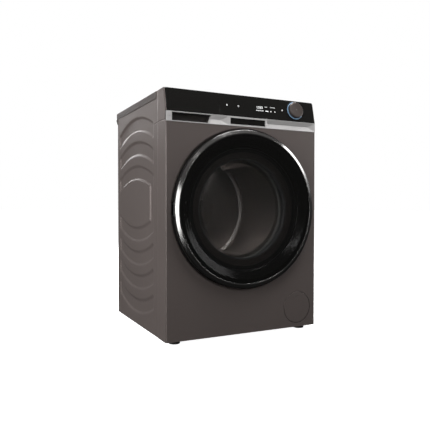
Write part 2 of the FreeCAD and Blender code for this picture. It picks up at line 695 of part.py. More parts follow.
dial_bore = leaning_turned([(0, -30), ("dial_stem + seat", -30), ("dial_stem + seat", 30), (0, 30)])
fascia_slab = leaning_slab("drawer_right + seat", "inner_w - drawer_right - seat")
node(without(fascia_slab, dial_bore), "control_fascia")
node(leaning_turned([("dial_rad + seat * 2", 0), ("dial_rad + lamp_wide", 0),
                     ("dial_rad + lamp_wide", "-lamp_proud"),
                     ("dial_rad + seat * 2", "-lamp_proud")]), "dial_light_ring")
node(leaning_turned([(0, 20), ("dial_stem", 20), ("dial_stem", -0.5), ("dial_rad", -0.5),
                     ("dial_rad", "1.5 - dial_proud"), ("dial_rad - 1.5", "-dial_proud"),
                     (0, "-dial_proud")]), "dial_knob")
node(block("board_left", "front + rail_front - seat - board_wall", "rim_z - rail_tall / 2 - board_tall",
           "board_long", "board_wall", "board_tall"), "control_board")

label_z = "trim_lo + (trim_rise - label_tall) / 2"
trim_bar = block("drawer_right + seat", "front - trim_proud", "trim_lo",
                 "inner_w - drawer_right - seat", "trim_deep", "trim_rise")
node(without(trim_bar, block("label_left - seat", "front - trim_proud - past", label_z + " - seat",
                             "label_long + seat * 2", "label_deep + past", "label_tall + seat * 2")),
     "trim_strip")
node(block("label_left", "front - trim_proud + seat", label_z, "label_long", "label_deep - seat",
           "label_tall"), "trim_label")

# ---------------------------------------------------------------- detergent drawer

node(without(block("drawer_left", "front + pull_deep", "housing_low", "housing_right - drawer_left",
                   "housing_long - pull_deep", "housing_tall"),
             block("drawer_left + housing_wall", "front", "housing_low + housing_wall",
                   "housing_right - drawer_left - housing_wall * 2", "housing_long - housing_wall",
                   "housing_tall - housing_wall * 2")), "dispenser_housing")
node(leaning_slab("-inner_w", "inner_w + drawer_right"), "drawer_front")

pull_bar = block("-inner_w", "front - trim_proud", "trim_lo", "inner_w + drawer_right",
                 "pull_deep + trim_proud", "trim_rise")
pull_recess = padded("XZ_Plane", [("pull_left", "trim_lo + pull_rim"),
                                  ("pull_right - pull_slant", "trim_lo + pull_rim"),
                                  ("pull_right", "trim_hi - pull_rim"),
                                  ("pull_left", "trim_hi - pull_rim")],
                     0, "front - past", 0, "pull_deep + past - pull_floor")
node(without(pull_bar, pull_recess), "drawer_pull")

tray_width = "(tray_right - tray_left)"
cell_wide = "((tray_right - tray_left - tray_wall * 4) / 3)"


def tray_cell(index):
    return block("tray_left + tray_wall + (%s + tray_wall) * %d" % (cell_wide, index),
                 "tray_y + tray_wall", "tray_z + tray_wall", cell_wide,
                 "tray_long - tray_wall - tray_shelf", "cab_height")


tab_x = "tray_left + (tray_right - tray_left) / 2"
tab_y = "tray_back - tray_shelf / 2"
tab_pocket = block(tab_x + " - tab_wide / 2 - seat", tab_y + " - tab_deep / 2 - seat",
                   "tray_top - 16", "tab_wide + seat * 2", "tab_deep + seat * 2", 30)
node(without(block("tray_left", "tray_y", "tray_z", tray_width, "tray_long", "tray_top - tray_z"),
             tray_cell(0), tray_cell(1), tray_cell(2), tab_pocket), "drawer_tray")
node(block(tab_x + " - tab_wide / 2", tab_y + " - tab_deep / 2", "tray_top - 15 + tab_travel",
           "tab_wide", "tab_deep", "15 - tab_travel + tray_gap"), "drawer_release_tab")

siphon_x = "tray_left + tray_wall + (%s + tray_wall) * 2 + seat" % cell_wide
node(joined(block(siphon_x, "tray_y + tray_wall + 110", "tray_top - 14", cell_wide + " - seat * 2",
                  80, 12),
            rod("z", siphon_x + " + %s / 2" % cell_wide, "tray_y + tray_wall + 150",
                "tray_z + tray_wall + 4", 6, "tray_top - tray_z - tray_wall - 14")), "siphon_cap")

# ---------------------------------------------------------------- door

notch = ("-door_rad - past", "front - notch_deep", "axis_height - notch_half",
         "door_rad + past - notch_in", "notch_deep + recess_deep", "notch_half * 2")
grip = block("grip_in", "front - grip_deep", "axis_height - grip_tall / 2",
             "door_rad + past - grip_in", "grip_deep + past", "grip_tall")
frame_ring = turned([("door_rad", "door_skirt"), ("door_rad - door_taper", "-door_side"),
                     ("chrome_rad + seat", "-door_side"), ("chrome_rad + seat", "-chrome_seat"),
                     ("chrome_in - ledge_gap", "-chrome_seat"),
                     ("chrome_in - ledge_gap", "-glass_edge + glass_thick + seat"),
                     ("mask_rad", "-glass_edge + glass_thick + seat"),
                     ("funnel_rad", "-door_back - funnel_lip"), ("funnel_rad", "-door_back"),
                     ("ring_rad + frame_lap", "-door_back"), ("ring_rad + frame_lap", "door_skirt")],
                    0, "front", "axis_height")
node(without(frame_ring, block(*notch), grip), "door_frame")
node(turned([("chrome_rad", "-chrome_seat"), ("chrome_rad", "-chrome_low"),
             ("chrome_in + chrome_step", "-chrome_high"), ("chrome_in", "-chrome_high"),
             ("chrome_in", "-chrome_seat")], 0, "front", "axis_height"), "door_chrome_ring")

glass_rad = "(chrome_in - seat)"
dome_rise = "(door_proud - glass_edge)"
dome_curve = "((%s * %s + %s * %s) / (2 * %s))" % (glass_rad, glass_rad, dome_rise, dome_rise, dome_rise)
node(turned([(0, "-door_proud", dome_curve, -1), (glass_rad, "-glass_edge"),
             (glass_rad, "-glass_edge + glass_thick", dome_curve, 1), (0, "-door_proud + glass_thick")],
            0, "front", "axis_height"), "door_cover_glass")

bowl_back = "bowl_seat + bowl_wall"
node(turned([("bowl_flange", "bowl_seat"), ("bowl_mouth", "bowl_seat"),
             ("bowl_end + bowl_turn", "bowl_deep - bowl_drop"),
             ("bowl_end", "bowl_deep - bowl_crown"), (0, "bowl_deep"), (0, "bowl_deep + bowl_wall"),
             ("bowl_end + bowl_wall / 2", "bowl_deep + bowl_wall - bowl_crown"),
             ("bowl_end + bowl_turn + bowl_wall", "bowl_deep + bowl_wall * 0.75 - bowl_drop"),
             ("bowl_mouth + bowl_wall", bowl_back), ("bowl_flange", bowl_back)],
            0, "front", "axis_height"), "door_glass_bowl")

inner_ring = turned([("ring_rad", "-ring_front"), ("bowl_flange + seat", "-ring_front"),
                     ("bowl_flange + seat", bowl_back + " + seat"),
                     ("ring_lip", bowl_back + " + seat"), ("ring_lip", "ring_back"),
                     ("ring_rad", "ring_back")], 0, "front", "axis_height")
hook_room = block("hook_out - hook_room * 0.3", "front - ring_front - seat", "axis_height - slot_tall / 2",
                  "hook_room", "ring_back + past", "slot_tall")
node(without(inner_ring, block(*notch), hook_room), "door_inner_ring")

hinge_x = "-hinge_out"
hinge_y = "front - hinge_proud"
arm_low = "leaf_tall / 2 + seat"
plate_y = "recess_floor - seat - plate_thick"


def bracket_arm(level):
    """A bracket arm above (+1) or below (-1) the door's leaf."""
    low = "axis_height + (%s)" % arm_low if level > 0 else "axis_height - (%s) - arm_tall" % arm_low
    return [rod("z", hinge_x, hinge_y, low, "knuckle_rad", "arm_tall"),
            block(hinge_x + " - knuckle_rad", hinge_y, low, "knuckle_rad * 2",
                  "hinge_proud + recess_deep - seat", "arm_tall")]


bracket_plate = block(hinge_x + " - knuckle_rad", plate_y, "axis_height - (%s) - arm_tall" % arm_low,
                      "hinge_out + knuckle_rad - notch_in - pin_rad", "plate_thick",
                      "(%s + arm_tall) * 2" % arm_low)
pin_hole = rod("z", hinge_x, hinge_y, "axis_height - leaf_tall * 2", "pin_rad + run_gap",
               "leaf_tall * 4")
node(without(joined(bracket_plate, *bracket_arm(1), *bracket_arm(-1)), pin_hole),
     "door_hinge_bracket")
leaf = joined(rod("z", hinge_x, hinge_y, "axis_height - leaf_tall / 2", "knuckle_rad", "leaf_tall"),
              block(hinge_x, hinge_y, "axis_height - leaf_tall / 2", "hinge_out - notch_in - seat",
                    "leaf_thick", "leaf_tall"))
node(without(leaf, pin_hole), "door_hinge_leaf")
node(rod("z", hinge_x, hinge_y, "axis_height - (%s) - arm_tall" % arm_low, "pin_rad",
         "(%s + arm_tall) * 2" % arm_low), "door_hinge_pin")

hook_z = "axis_height - hook_tall / 2"
node(joined(block("hook_out - hook_thick / 2", "front + hook_pivot - hook_root", hook_z, "hook_thick",
                  "hook_long + hook_root - hook_pivot", "hook_tall"),
            block("hook_out + hook_thick / 2", "front + hook_long - barb_thick", hook_z, "hook_barb",
                  "barb_thick", "hook_tall"),
            rod("z", "hook_out", "front + hook_pivot", "axis_height - slot_tall / 2 + seat", "hook_axle",
                "slot_tall - seat * 2")), "door_latch_hook")
lock_y = "recess_floor + sheet + seat"
node(without(block("hook_out - slot_wide / 2 - lock_wall", lock_y, "axis_height - lock_tall / 2",
                   "slot_wide + lock_wall * 2", "lock_deep", "lock_tall"),
             block("hook_out - slot_wide / 2", lock_y + " - past", "axis_height - slot_tall / 2",
                   "slot_wide", "lock_deep + past * 2", "slot_tall")), "door_lock")

sleeve = "port_rad - sheet - seat"
fold_back = "recess_deep + gasket_back"
bend_start = "recess_deep + gasket_front"
node(turned([(sleeve + " - gasket_wall", "recess_deep + niche_front"), (sleeve, "recess_deep + niche_front"),
             (sleeve, bend_start), ("tub_neck + gasket_fold", bend_start + " + gasket_bend"),
             ("tub_neck + gasket_fold", fold_back),
             ("tub_neck + seat + gasket_wall", fold_back + " + gasket_wall * 0.8"),
             ("tub_neck + seat + gasket_wall", "tub_front_y - 1"), ("tub_neck + seat", "tub_front_y - 1"),
             ("tub_neck + seat", fold_back + " + 1"),
             ("tub_neck + gasket_fold - gasket_wall * 1.2", fold_back + " - 2"),
             ("tub_neck + gasket_fold - gasket_wall * 1.2", bend_start + " + gasket_bend + 3"),
             (sleeve + " - gasket_wall", bend_start + " + 2")],
            0, "front", "axis_height"), "door_gasket")

# ---------------------------------------------------------------- service flap, filter and pump

# The flap snaps into the niche by its collar, and is pulled straight off.
node(turned([(0, 0), ("flap_rad", 0), ("flap_rad", "flap_thick"), ("niche_rad - seat", "flap_thick"),
             ("niche_rad - seat", "collar_deep"), ("niche_rad - seat - collar_wall", "collar_deep"),
             ("niche_rad - seat - collar_wall", "flap_thick"), (0, "flap_thick")],
            "service_x", "front", "service_z"), "service_flap")

neck_y = "front + niche_deep - neck_out"
pump_shell = turned([("neck_rad - neck_wall", 0), ("neck_rad", 0), ("neck_rad", "chamber_long + pump_long"),
                     (0, "chamber_long + pump_long"), (0, "chamber_long"),
                     ("neck_rad - neck_wall", "chamber_long")], "service_x", neck_y, "service_z")
pump_stand = block("service_x - pump_foot / 2", neck_y + " + pump_foot_back", "floor_z + seat",
                   "pump_foot", "chamber_long", "service_z - neck_rad + neck_wall / 2 - floor_z")
node(joined(pump_shell, pump_stand), "drain_pump")

# The filter cap, its grip bar and its strainer are one moulding.
basket_rad = "neck_rad - neck_wall - basket_gap"
basket_end = "cap_thick + basket_long"
cap_shell = turned([(0, 0), ("neck_rad - neck_wall - seat", 0), ("neck_rad - neck_wall - seat", "cap_thick"),
                    (basket_rad, "cap_thick"), (basket_rad, basket_end), (0, basket_end),
                    (0, basket_end + " - basket_wall"), (basket_rad + " - basket_wall", basket_end
                                                         + " - basket_wall"),
                    (basket_rad + " - basket_wall", "cap_thick"), (0, "cap_thick")],
                   "service_x", neck_y, "service_z")
cap_bar = block("service_x - cap_bar_wide / 2", neck_y + " - cap_grip", "service_z - cap_bar_long / 2",
                "cap_bar_wide", "cap_grip + seat", "cap_bar_long")
node(joined(cap_shell, cap_bar), "filter_cap")

# ---------------------------------------------------------------- tub

tub_z = "axis_height"
node(turned([("tub_neck - tub_wall", "tub_front_y - tub_lip"), ("tub_neck", "tub_front_y - tub_lip"),
             ("tub_neck", "tub_front_y"), ("tub_rad", "tub_front_y"),
             ("tub_rad", "tub_split - flange_thick"), ("tub_rad + tub_flange", "tub_split - flange_thick"),
             ("tub_rad + tub_flange", "tub_split"),
             ("tub_rad - tub_wall", "tub_split"), ("tub_rad - tub_wall", "tub_front_y + tub_wall"),
             ("tub_neck - tub_wall", "tub_front_y + tub_wall")], 0, "front", tub_z), "tub_front")

tub_rear_shell = turned([("tub_rad - tub_wall", "tub_split + seat"),
                         ("tub_rad + tub_flange", "tub_split + seat"),
                         ("tub_rad + tub_flange", "tub_split + flange_thick"),
                         ("tub_rad", "tub_split + flange_thick"),
                         ("tub_rad", "tub_rear_y + tub_wall"), ("hub_rad", "tub_rear_y + tub_wall"),
                         ("hub_rad", "pulley_y - hub_short"), ("bearing_rad", "pulley_y - hub_short"),
                         ("bearing_rad", "tub_rear_y"), ("tub_rad - tub_wall", "tub_rear_y")],
                        0, "front", tub_z)


def tub_ear(side):
    low = "ear_root" if side > 0 else "-spring_x - ear_past"
    return block(low, "front + rail_mid", "ear_z", "spring_x + ear_past - ear_root", "rail_deep",
                 "ear_thick")


ears_clear = disc("tub_rad - tub_wall", "front + tub_split + seat", "tub_rear_y - tub_split - seat")
node(without(joined(tub_rear_shell, tub_ear(-1), tub_ear(1)), ears_clear), "tub_rear")

node(turned([("ring_weight_in", "-ring_weight_thick"), ("ring_weight_out", "-ring_weight_thick"),
             ("ring_weight_out", 0), ("ring_weight_in", 0)],
            0, "front + tub_front_y - seat", tub_z), "front_counterweight")
node(without(block("block_left", "front + block_y", "axis_height + tub_rad * 0.7", "block_wide",
                   "block_long", "block_top - axis_height - tub_rad * 0.7"),
             disc("tub_rad + seat", "front", "cab_depth"),
             disc("tub_rad + tub_flange + seat", "front + tub_split - flange_thick - seat * 2",
                  "(flange_thick + seat * 2) * 2")), "top_counterweight")


def bearing(y):
    return turned([("shaft_rad + run_gap", 0), ("bearing_rad - seat", 0),
                   ("bearing_rad - seat", "bearing_long"), ("shaft_rad + run_gap", "bearing_long")],
                  0, y, tub_z)


node(group(bearing("front + tub_rear_y + seat"),
           bearing("front + pulley_y - hub_short - seat - bearing_long")), "drum_bearings")


def element_rod(side):
    return rod("y", "heater_apart / 2 * %d" % side, "front + tub_rear_y - seat - heater_long",
               "axis_height - heater_drop", "heater_rad", "heater_long")


element_bend = rod("x", "-heater_apart / 2", "front + tub_rear_y - seat - heater_long + heater_rad",
                   "axis_height - heater_drop", "heater_rad", "heater_apart")
element_flange = block("-heater_apart / 2 - 8", "front + tub_rear_y - seat - 6",
                       "axis_height - heater_drop - 4.5", "heater_apart + 16", 6, 9)
node(joined(element_rod(-1), element_rod(1), element_bend, element_flange), "heating_element")

motor_body = disc("motor_rad", "front + motor_y", "motor_long", "0", "motor_z")
motor_lug = block(-12, "front + motor_y + 10", "motor_z + motor_rad - 5", 24, "motor_long - 20",
                  "axis_height - tub_rad - motor_z - motor_rad + 5 - 0.6")
motor_bore = disc("spindle_rad + run_gap", "front + motor_y + motor_long - 30", 40, "0", "motor_z")
node(without(joined(motor_body, motor_lug), motor_bore), "motor")
node(turned([(0, "motor_y + motor_long - 28"), ("spindle_rad", "motor_y + motor_long - 28"),
             ("spindle_rad", "pulley_y"), ("motor_pulley_rad", "pulley_y"),
             ("motor_pulley_rad", "pulley_back"), (0, "pulley_back")],
            0, "front", "motor_z"), "motor_pulley")


def belt():
    """The flat belt: a loop round both pulleys, a hair off each."""
    big, small = number("pulley_rad + seat"), number("motor_pulley_rad + seat")
    high, low = number("axis_height"), number("motor_z")
    thick, wide = number("belt_thick"), number("belt_wide")
    back = number("front + pulley_y + (pulley_wide - belt_wide) / 2")

    def loop(grow):
        lean = math.asin((big - small) / (high - low))
        across, up = math.cos(lean), -math.sin(lean)

        def spot(side, radius, centre):
            return V(side * across * radius, back, centre + up * radius)

        top, bottom = V(0, back, high + big + grow), V(0, back, low - small - grow)
        right = [spot(1, big + grow, high), spot(1, small + grow, low)]
        left = [spot(-1, big + grow, high), spot(-1, small + grow, low)]
        return Part.Face(Part.Wire([
            Part.Arc(left[0], top, right[0]).toShape(),
            Part.LineSegment(right[0], right[1]).toShape(),
            Part.Arc(right[1], bottom, left[1]).toShape(),
            Part.LineSegment(left[1], left[0]).toShape()]))

    feature = doc.addObject("Part::Feature", "Belt")
    feature.Shape = loop(thick).extrude(V(0, wide, 0)).cut(loop(0).extrude(V(0, wide, 0)))
    return node(feature, "drive_belt")


belt()


def spring(side):
    return without(rod("z", "spring_x * %d" % side, "front + rail_mid + rail_deep / 2",
                       "ear_z + ear_thick + seat", "spring_rad", "rail_z - ear_z - ear_thick - seat * 2"),
                   rod("z", "spring_x * %d" % side, "front + rail_mid + rail_deep / 2",
                       "ear_z + ear_thick - 5", "spring_rad - spring_wire", "rail_z - ear_z"))


node(group(spring(-1), spring(1)), "suspension_springs")


def damper_tube(side):
    return without(rod("z", "damper_x * %d" % side, "front + damper_y", "floor_z + seat",
                       "damper_rad", "damper_tall"),
                   rod("z", "damper_x * %d" % side, "front + damper_y", "floor_z + 6",
                       "damper_rad - 2.5", "damper_tall"))


def damper_rod(side):
    return rod("z", "damper_x * %d" % side, "front + damper_y", "rod_low", "rod_rad",
               "rod_top - rod_low")


node(group(damper_tube(-1), damper_tube(1)), "damper_cylinders")
node(group(damper_rod(-1), damper_rod(1)), "damper_rods")

# ---------------------------------------------------------------- drum

drum_back = "drum_front_y + drum_long"
node(turned([("drum_mouth", "drum_front_y"), ("drum_rad + drum_wall", "drum_front_y"),
             ("drum_rad + drum_wall", drum_back), ("shaft_rad + seat", drum_back),
             ("shaft_rad + seat", drum_back + " - drum_wall"), ("drum_rad", drum_back + " - drum_wall"),
             ("drum_rad", "drum_front_y + drum_wall"), ("drum_mouth", "drum_front_y + drum_wall")],
            0, "front", tub_z), "drum_shell")


def lifter(angle):
    """A paddle that stands on the drum wall, open underneath, turned about the drum's axis."""
    def paddle(foot, crest, low, high, inset):
        shape = padded("XZ_Plane", [("-(%s) / 2" % foot, low), ("-(%s) / 2" % crest, high),
                                    ("(%s) / 2" % crest, high), ("(%s) / 2" % foot, low)],
                       0, 0, 0, "lifter_long - %s * 2" % inset)
        return put(shape, 0, "front + drum_front_y + (drum_long - lifter_long) / 2 + " + inset, tub_z,
                   FreeCAD.Rotation(V(0, 1, 0), angle))

    outside = paddle("lifter_wide", "lifter_top", "lifter_foot", "drum_rad - lifter_tall", "0")
    inside = paddle("lifter_wide - lifter_wall * 2", "lifter_top - lifter_wall * 2",
                    "lifter_foot + 5", "drum_rad - lifter_tall + lifter_wall", "lifter_wall")
    return without(outside, inside)


node(group(*[lifter(number("lifter_turn") + third * 120) for third in range(3)]), "drum_lifters")


def spider_arm(angle):
    arm = padded("XZ_Plane", rectangle("-spider_arm / 2", 0, "spider_arm / 2", "drum_rad - 6"),
                 0, 0, 0, "spider_thick")
    return put(arm, 0, "front + %s + seat" % drum_back, tub_z, FreeCAD.Rotation(V(0, 1, 0), angle))


drum_shaft = disc("shaft_rad", "front + %s + seat" % drum_back, "pulley_back + 4 - drum_front_y - drum_long")
node(joined(drum_shaft, *[spider_arm(number("lifter_turn") + third * 120) for third in range(3)]),
     "drum_spider")
node(turned([("shaft_rad + seat", "pulley_y - 1"), ("shaft_rad + 12", "pulley_y - 1"),
             ("shaft_rad + 12", "pulley_y + 5"), ("pulley_rad - 10", "pulley_y + 5"),
             ("pulley_rad - 10", "pulley_y"), ("pulley_rad", "pulley_y"),
             ("pulley_rad", "pulley_back"), ("pulley_rad - 10", "pulley_back"),
             ("pulley_rad - 10", "pulley_y + 9"), ("shaft_rad + 12", "pulley_y + 9"),
             ("shaft_rad + 12", "pulley_back + 2"), ("shaft_rad + seat", "pulley_back + 2")],
            0, "front", tub_z), "drum_pulley")

# ---------------------------------------------------------------- rear connections

valve_y = "rear_in - seat - valve_size"
node(joined(block("valve_x - valve_size / 2", valve_y, "valve_z - valve_size / 2",
                  "valve_size", "valve_size", "valve_size"),
            disc("spigot_rad", "rear_in - past", "spigot_out + sheet + past", "valve_x", "valve_z"),
            disc("spigot_rad + spigot_step", "rear_in - past", "sheet + spigot_root + past",
                 "valve_x", "valve_z"),
            rod("z", "valve_x", valve_y + " + coil_rad + seat", "valve_z - valve_size / 2 + past - coil_long",
                "coil_rad", "coil_long")),
     "inlet_valve")
node(turned([("outlet_rad - outlet_wall", "-outlet_in"), ("outlet_rad", "-outlet_in"),
             ("outlet_rad", 0), ("collar_rad", 0), ("collar_rad", "collar_thick"),
             ("outlet_rad", "collar_thick"), ("outlet_rad", "outlet_out"),
             ("outlet_rad - outlet_wall", "outlet_out")], "outlet_x", "rear", "outlet_z"), "drain_outlet")
node(turned([("gland_bore", "-gland_in"), ("gland_rad", "-gland_in"), ("gland_rad", 0),
             ("gland_flange", 0), ("gland_flange", "gland_thick"), ("gland_bore", "gland_thick")],
            "outlet_x", "rear", "gland_z"), "cord_gland")

# ---------------------------------------------------------------- test and write

doc.recompute()
faults = [item.Label for item in doc.Objects if "Invalid" in item.State or "Error" in item.State]
faults += [item.Label for item in NODES if item.Shape.isNull() or not item.Shape.isValid()]
faults += [item.Label for item in NODES if not item.Shape.Solids]
if faults:
    raise RuntimeError("these did not come out whole: " + ", ".join(faults))

os.makedirs("parts", exist_ok=True)
for item in NODES:
    item.Shape.exportStep(os.path.join("parts", item.Label + ".step"))
print(len(NODES), "sub-parts written")
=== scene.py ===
# %% [markdown]
# # A front-loading washing machine
# The steel cabinet, hinges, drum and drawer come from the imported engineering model, which is the fixed
# frame of this scene. This lesson dresses that frame: it adds paint, glass and bright metal, and it
# remodels the pieces whose surfaces are seen up close. Everything is in metres, +Z up, door towards -Y.

import math

import bmesh
import bpy
from mathutils import Matrix, Vector


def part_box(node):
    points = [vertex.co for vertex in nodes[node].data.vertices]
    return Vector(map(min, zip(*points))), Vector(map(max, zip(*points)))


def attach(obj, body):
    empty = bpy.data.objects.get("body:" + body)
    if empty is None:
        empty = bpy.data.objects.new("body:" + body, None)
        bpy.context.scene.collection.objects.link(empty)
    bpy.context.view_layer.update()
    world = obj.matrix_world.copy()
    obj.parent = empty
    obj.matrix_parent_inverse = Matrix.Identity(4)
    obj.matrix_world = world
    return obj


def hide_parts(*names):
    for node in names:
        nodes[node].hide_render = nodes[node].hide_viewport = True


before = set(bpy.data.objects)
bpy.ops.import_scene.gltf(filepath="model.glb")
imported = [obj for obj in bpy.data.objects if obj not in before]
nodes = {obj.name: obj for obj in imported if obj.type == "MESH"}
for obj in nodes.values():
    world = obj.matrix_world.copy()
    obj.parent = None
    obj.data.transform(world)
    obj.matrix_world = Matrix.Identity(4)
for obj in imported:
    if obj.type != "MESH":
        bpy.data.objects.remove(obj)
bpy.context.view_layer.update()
MM = 0.001

# %% [markdown]
# ## Places
# Every place is read from the frame, so nothing has to be fitted by eye. The door, the drum and the
# tub share one axis, which runs from front to back.

# %% Places that the frame gives
panel_low, panel_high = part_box("front_panel")
drum_low, drum_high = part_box("drum_shell")
FRONT = panel_low.y
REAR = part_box("rear_panel")[1].y
HALF = panel_high.x
TRIM_LOW, TRIM_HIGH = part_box("trim_strip")[0].z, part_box("trim_strip")[1].z
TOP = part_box("worktop_board")[1].z
AXIS = Vector(((drum_low.x + drum_high.x) / 2, 0, (drum_low.z + drum_high.z) / 2))
print("door axis at x %.3f, z %.3f; front face at y %.3f" % (AXIS.x, AXIS.z, FRONT))

# %% [markdown]
# ## Camera
# The view is from the left and a little above the middle of the machine, level and without lens
# shift, so that the upright edges stay nearly upright. It could be a longer lens from further away,
# but this short distance gives the strong narrowing of the left side.

# %% Camera
CAMERA_LEFT, CAMERA_FRONT, CAMERA_UP = 0.8856, 1.5324, 0.4629
CAMERA_YAW, CAMERA_PITCH, CAMERA_LENS = 0.463, -0.0188, 42.24

camera_data = bpy.data.cameras.new("studio_camera")
camera = bpy.data.objects.new("studio_camera", camera_data)
bpy.context.scene.collection.objects.link(camera)
camera_data.lens = CAMERA_LENS
camera_data.sensor_width = 36
camera.location = (-CAMERA_LEFT, FRONT - CAMERA_FRONT, CAMERA_UP)
camera.rotation_euler = (math.pi / 2 + CAMERA_PITCH, 0, -CAMERA_YAW)
bpy.context.scene.camera = camera
bpy.context.scene.view_settings.view_transform = "Standard"
print("camera at", [round(value, 3) for value in camera.location])

# %% [markdown]
# ## Modelling helpers
# Most pieces of a washing machine are either turned (the door, the dial) or pressed from an outline
# (the fascia, the trim). Both start as a closed loop of edges: a circle whose points are set on the
# outline. A turned piece is then spun about its axis, and an outline is filled and extruded.

# %% Loops, spins and extrusions
DOUBLES = 0.005 * MM
LOOP_SIZE = 10 * MM


def deselect():
    """Back to object mode with nothing selected."""
    if bpy.context.object and bpy.context.object.mode != "OBJECT":
        bpy.ops.object.mode_set(mode="OBJECT")
    bpy.ops.object.select_all(action="DESELECT")


def only(piece):
    """Makes one piece the selected and active one."""
    deselect()
    piece.select_set(True)
    bpy.context.view_layer.objects.active = piece
    return piece


def named(name):
    piece = bpy.context.object
    piece.name = piece.data.name = name
    return piece


def closed_loop(name, points):
    """A circle whose vertices are set on the points of an outline."""
    deselect()
    bpy.ops.mesh.primitive_circle_add(vertices=len(points), radius=LOOP_SIZE)
    piece = named(name)
    for vertex, point in zip(piece.data.vertices, points):
        vertex.co = point
    return piece


def edit_all(piece, mode="VERT"):
    """Edit mode on one piece with everything selected."""
    only(piece)
    bpy.ops.object.mode_set(mode="EDIT")
    bpy.ops.mesh.select_mode(type=mode)
    bpy.ops.mesh.select_all(action="SELECT")


def smoothed(piece, angle=35):
    """Shades smooth across the edges that are flatter than an angle."""
    only(piece)
    bpy.ops.object.shade_smooth_by_angle(angle=math.radians(angle))
    return piece


def finish_mesh(piece, angle=35):
    """Merges doubles, turns the faces outwards and shades by angle."""
    edit_all(piece)
    bpy.ops.mesh.remove_doubles(threshold=DOUBLES)
    bpy.ops.mesh.delete_loose()
    bpy.ops.mesh.select_all(action="SELECT")
    bpy.ops.mesh.normals_make_consistent(inside=False)
    return smoothed(piece, angle)


def spun(name, profile, centre, steps=144, axis=(0, 1, 0), angle=35):
    """Turns a closed profile of (radius, along) about an axis through centre."""
    along = Vector(axis)
    across = Vector((1, 0, 0))
    centre = Vector(centre)
    piece = closed_loop(name, [centre + across * radius + along * far for radius, far in profile])
    edit_all(piece)
    bpy.ops.mesh.spin(steps=steps, angle=math.tau, center=centre, axis=along)
    return finish_mesh(piece, angle)


def extruded(name, outline, place, start, end, angle=35):
    """Fills an outline of (u, v) points and extrudes it. place(u, v, w) gives the point in space."""
    piece = closed_loop(name, [place(u, v, start) for u, v in outline])
    edit_all(piece)
    bpy.ops.mesh.edge_face_add()
    way = place(0, 0, end) - place(0, 0, start)
    bpy.ops.mesh.extrude_region_move(TRANSFORM_OT_translate={"value": way})
    return finish_mesh(piece, angle)


def rounded(points, radius, steps=6):
    """An outline whose corners are replaced by arcs. A point may carry its own radius as a third value."""
    result = []
    count = len(points)
    for index, point in enumerate(points):
        here = Vector(point[:2])
        before = Vector(points[index - 1][:2]) - here
        after = Vector(points[(index + 1) % count][:2]) - here
        reach = point[2] if len(point) > 2 else radius
        turn = before.angle(after) if before.length and after.length else math.pi
        if reach <= 0 or turn > math.radians(178):
            result.append(tuple(here))
            continue
        cut = min(reach / math.tan(turn / 2), 0.48 * before.length, 0.48 * after.length)
        start, stop = here + before.normalized() * cut, here + after.normalized() * cut
        for step in range(steps + 1):
            share = step / steps
            result.append(tuple(start.lerp(here, share).lerp(here.lerp(stop, share), share)))
    return result


def box_outline(low_u, low_v, high_u, high_v):
    return [(low_u, low_v), (high_u, low_v), (high_u, high_v), (low_u, high_v)]


def in_mm(points):
    """Points written in millimetres, in metres. Every value of a point is a length."""
    return [tuple(value * MM for value in point) for point in points]


def front_face(low, high, gap=0):
    """The outline of a box as seen from the front, grown by a gap."""
    return box_outline(low.x - gap, low.z - gap, high.x + gap, high.z + gap)


def drill(name, radius, start, stop, centre, steps=24, axis=(0, 1, 0)):
    """A round bar that cuts a hole."""
    return spun(name, [(0, start), (radius, start), (radius, stop), (0, stop)], centre, steps, axis)


def modified(piece, kind, **settings):
    """Adds a modifier, sets it and applies it."""
    only(piece)
    bpy.ops.object.modifier_add(type=kind)
    modifier = piece.modifiers[-1]
    for key, value in settings.items():
        setattr(modifier, key, value)
    bpy.ops.object.modifier_apply(modifier=modifier.name)
    return piece


def softened(piece, width, segments=3, angle=35):
    """Rounds the edges that are sharper than an angle."""
    modified(piece, "BEVEL", width=width, segments=segments, limit_method="ANGLE",
             angle_limit=math.radians(angle), harden_normals=False)
    return smoothed(piece, angle)


def carved(piece, *cutters):
    """Cuts closed shapes out of a piece and removes them."""
    for cutter in cutters:
        modified(piece, "BOOLEAN", operation="DIFFERENCE", object=cutter, solver="EXACT")
        bpy.data.objects.remove(cutter)
    return piece


def merged(name, *parts):
    """Joins several shapes of one moulding into one piece."""
    deselect()
    for part in parts:
        part.select_set(True)
    bpy.context.view_layer.objects.active = parts[0]
    bpy.ops.object.join()
    return named(name)


def copied(piece, name):
    """A copy with its own mesh."""
    twin = piece.copy()
    twin.data = piece.data.copy()
    twin.name = twin.data.name = name
    bpy.context.scene.collection.objects.link(twin)
    return twin


print("helpers ready")

# %% [markdown]
# ## Directions
# An outline is drawn flat and placed in one of four ways: on the front (x and height, going back),
# on a side (depth and height, going right), from above (x and depth, going up), or on the fascia,
# which leans back. On the fascia, v runs up its slope and w comes out towards the user.

# %% Directions
def on_front(u, v, w):
    return Vector((u, w, v))


def on_side(u, v, w):
    return Vector((w, u, v))


def from_above(u, v, w):
    return Vector((u, v, w))


FASCIA_FOOT = Vector((0, FRONT, TRIM_HIGH))
FASCIA_LEAN = 17 * MM
slope = Vector((0, FASCIA_LEAN, TOP - TRIM_HIGH))
SLOPE_LONG = slope.length
UP_SLOPE = slope.normalized()
OUT_OF_SLOPE = Vector((0, -UP_SLOPE.z, UP_SLOPE.y))


def on_fascia(u, v, w):
    return FASCIA_FOOT + Vector((u, 0, 0)) + UP_SLOPE * v + OUT_OF_SLOPE * w


print("fascia slope %.1f mm long" % (SLOPE_LONG / MM))

# %% [markdown]
# ## Writing shaders as sums
# A shader graph is easier to read as arithmetic. `Value` wraps one socket, so that adding two values
# adds a Math node. `Finish` makes a material and any node in it from its type, its settings and the
# values of its sockets. Only values that change over a surface go through nodes.

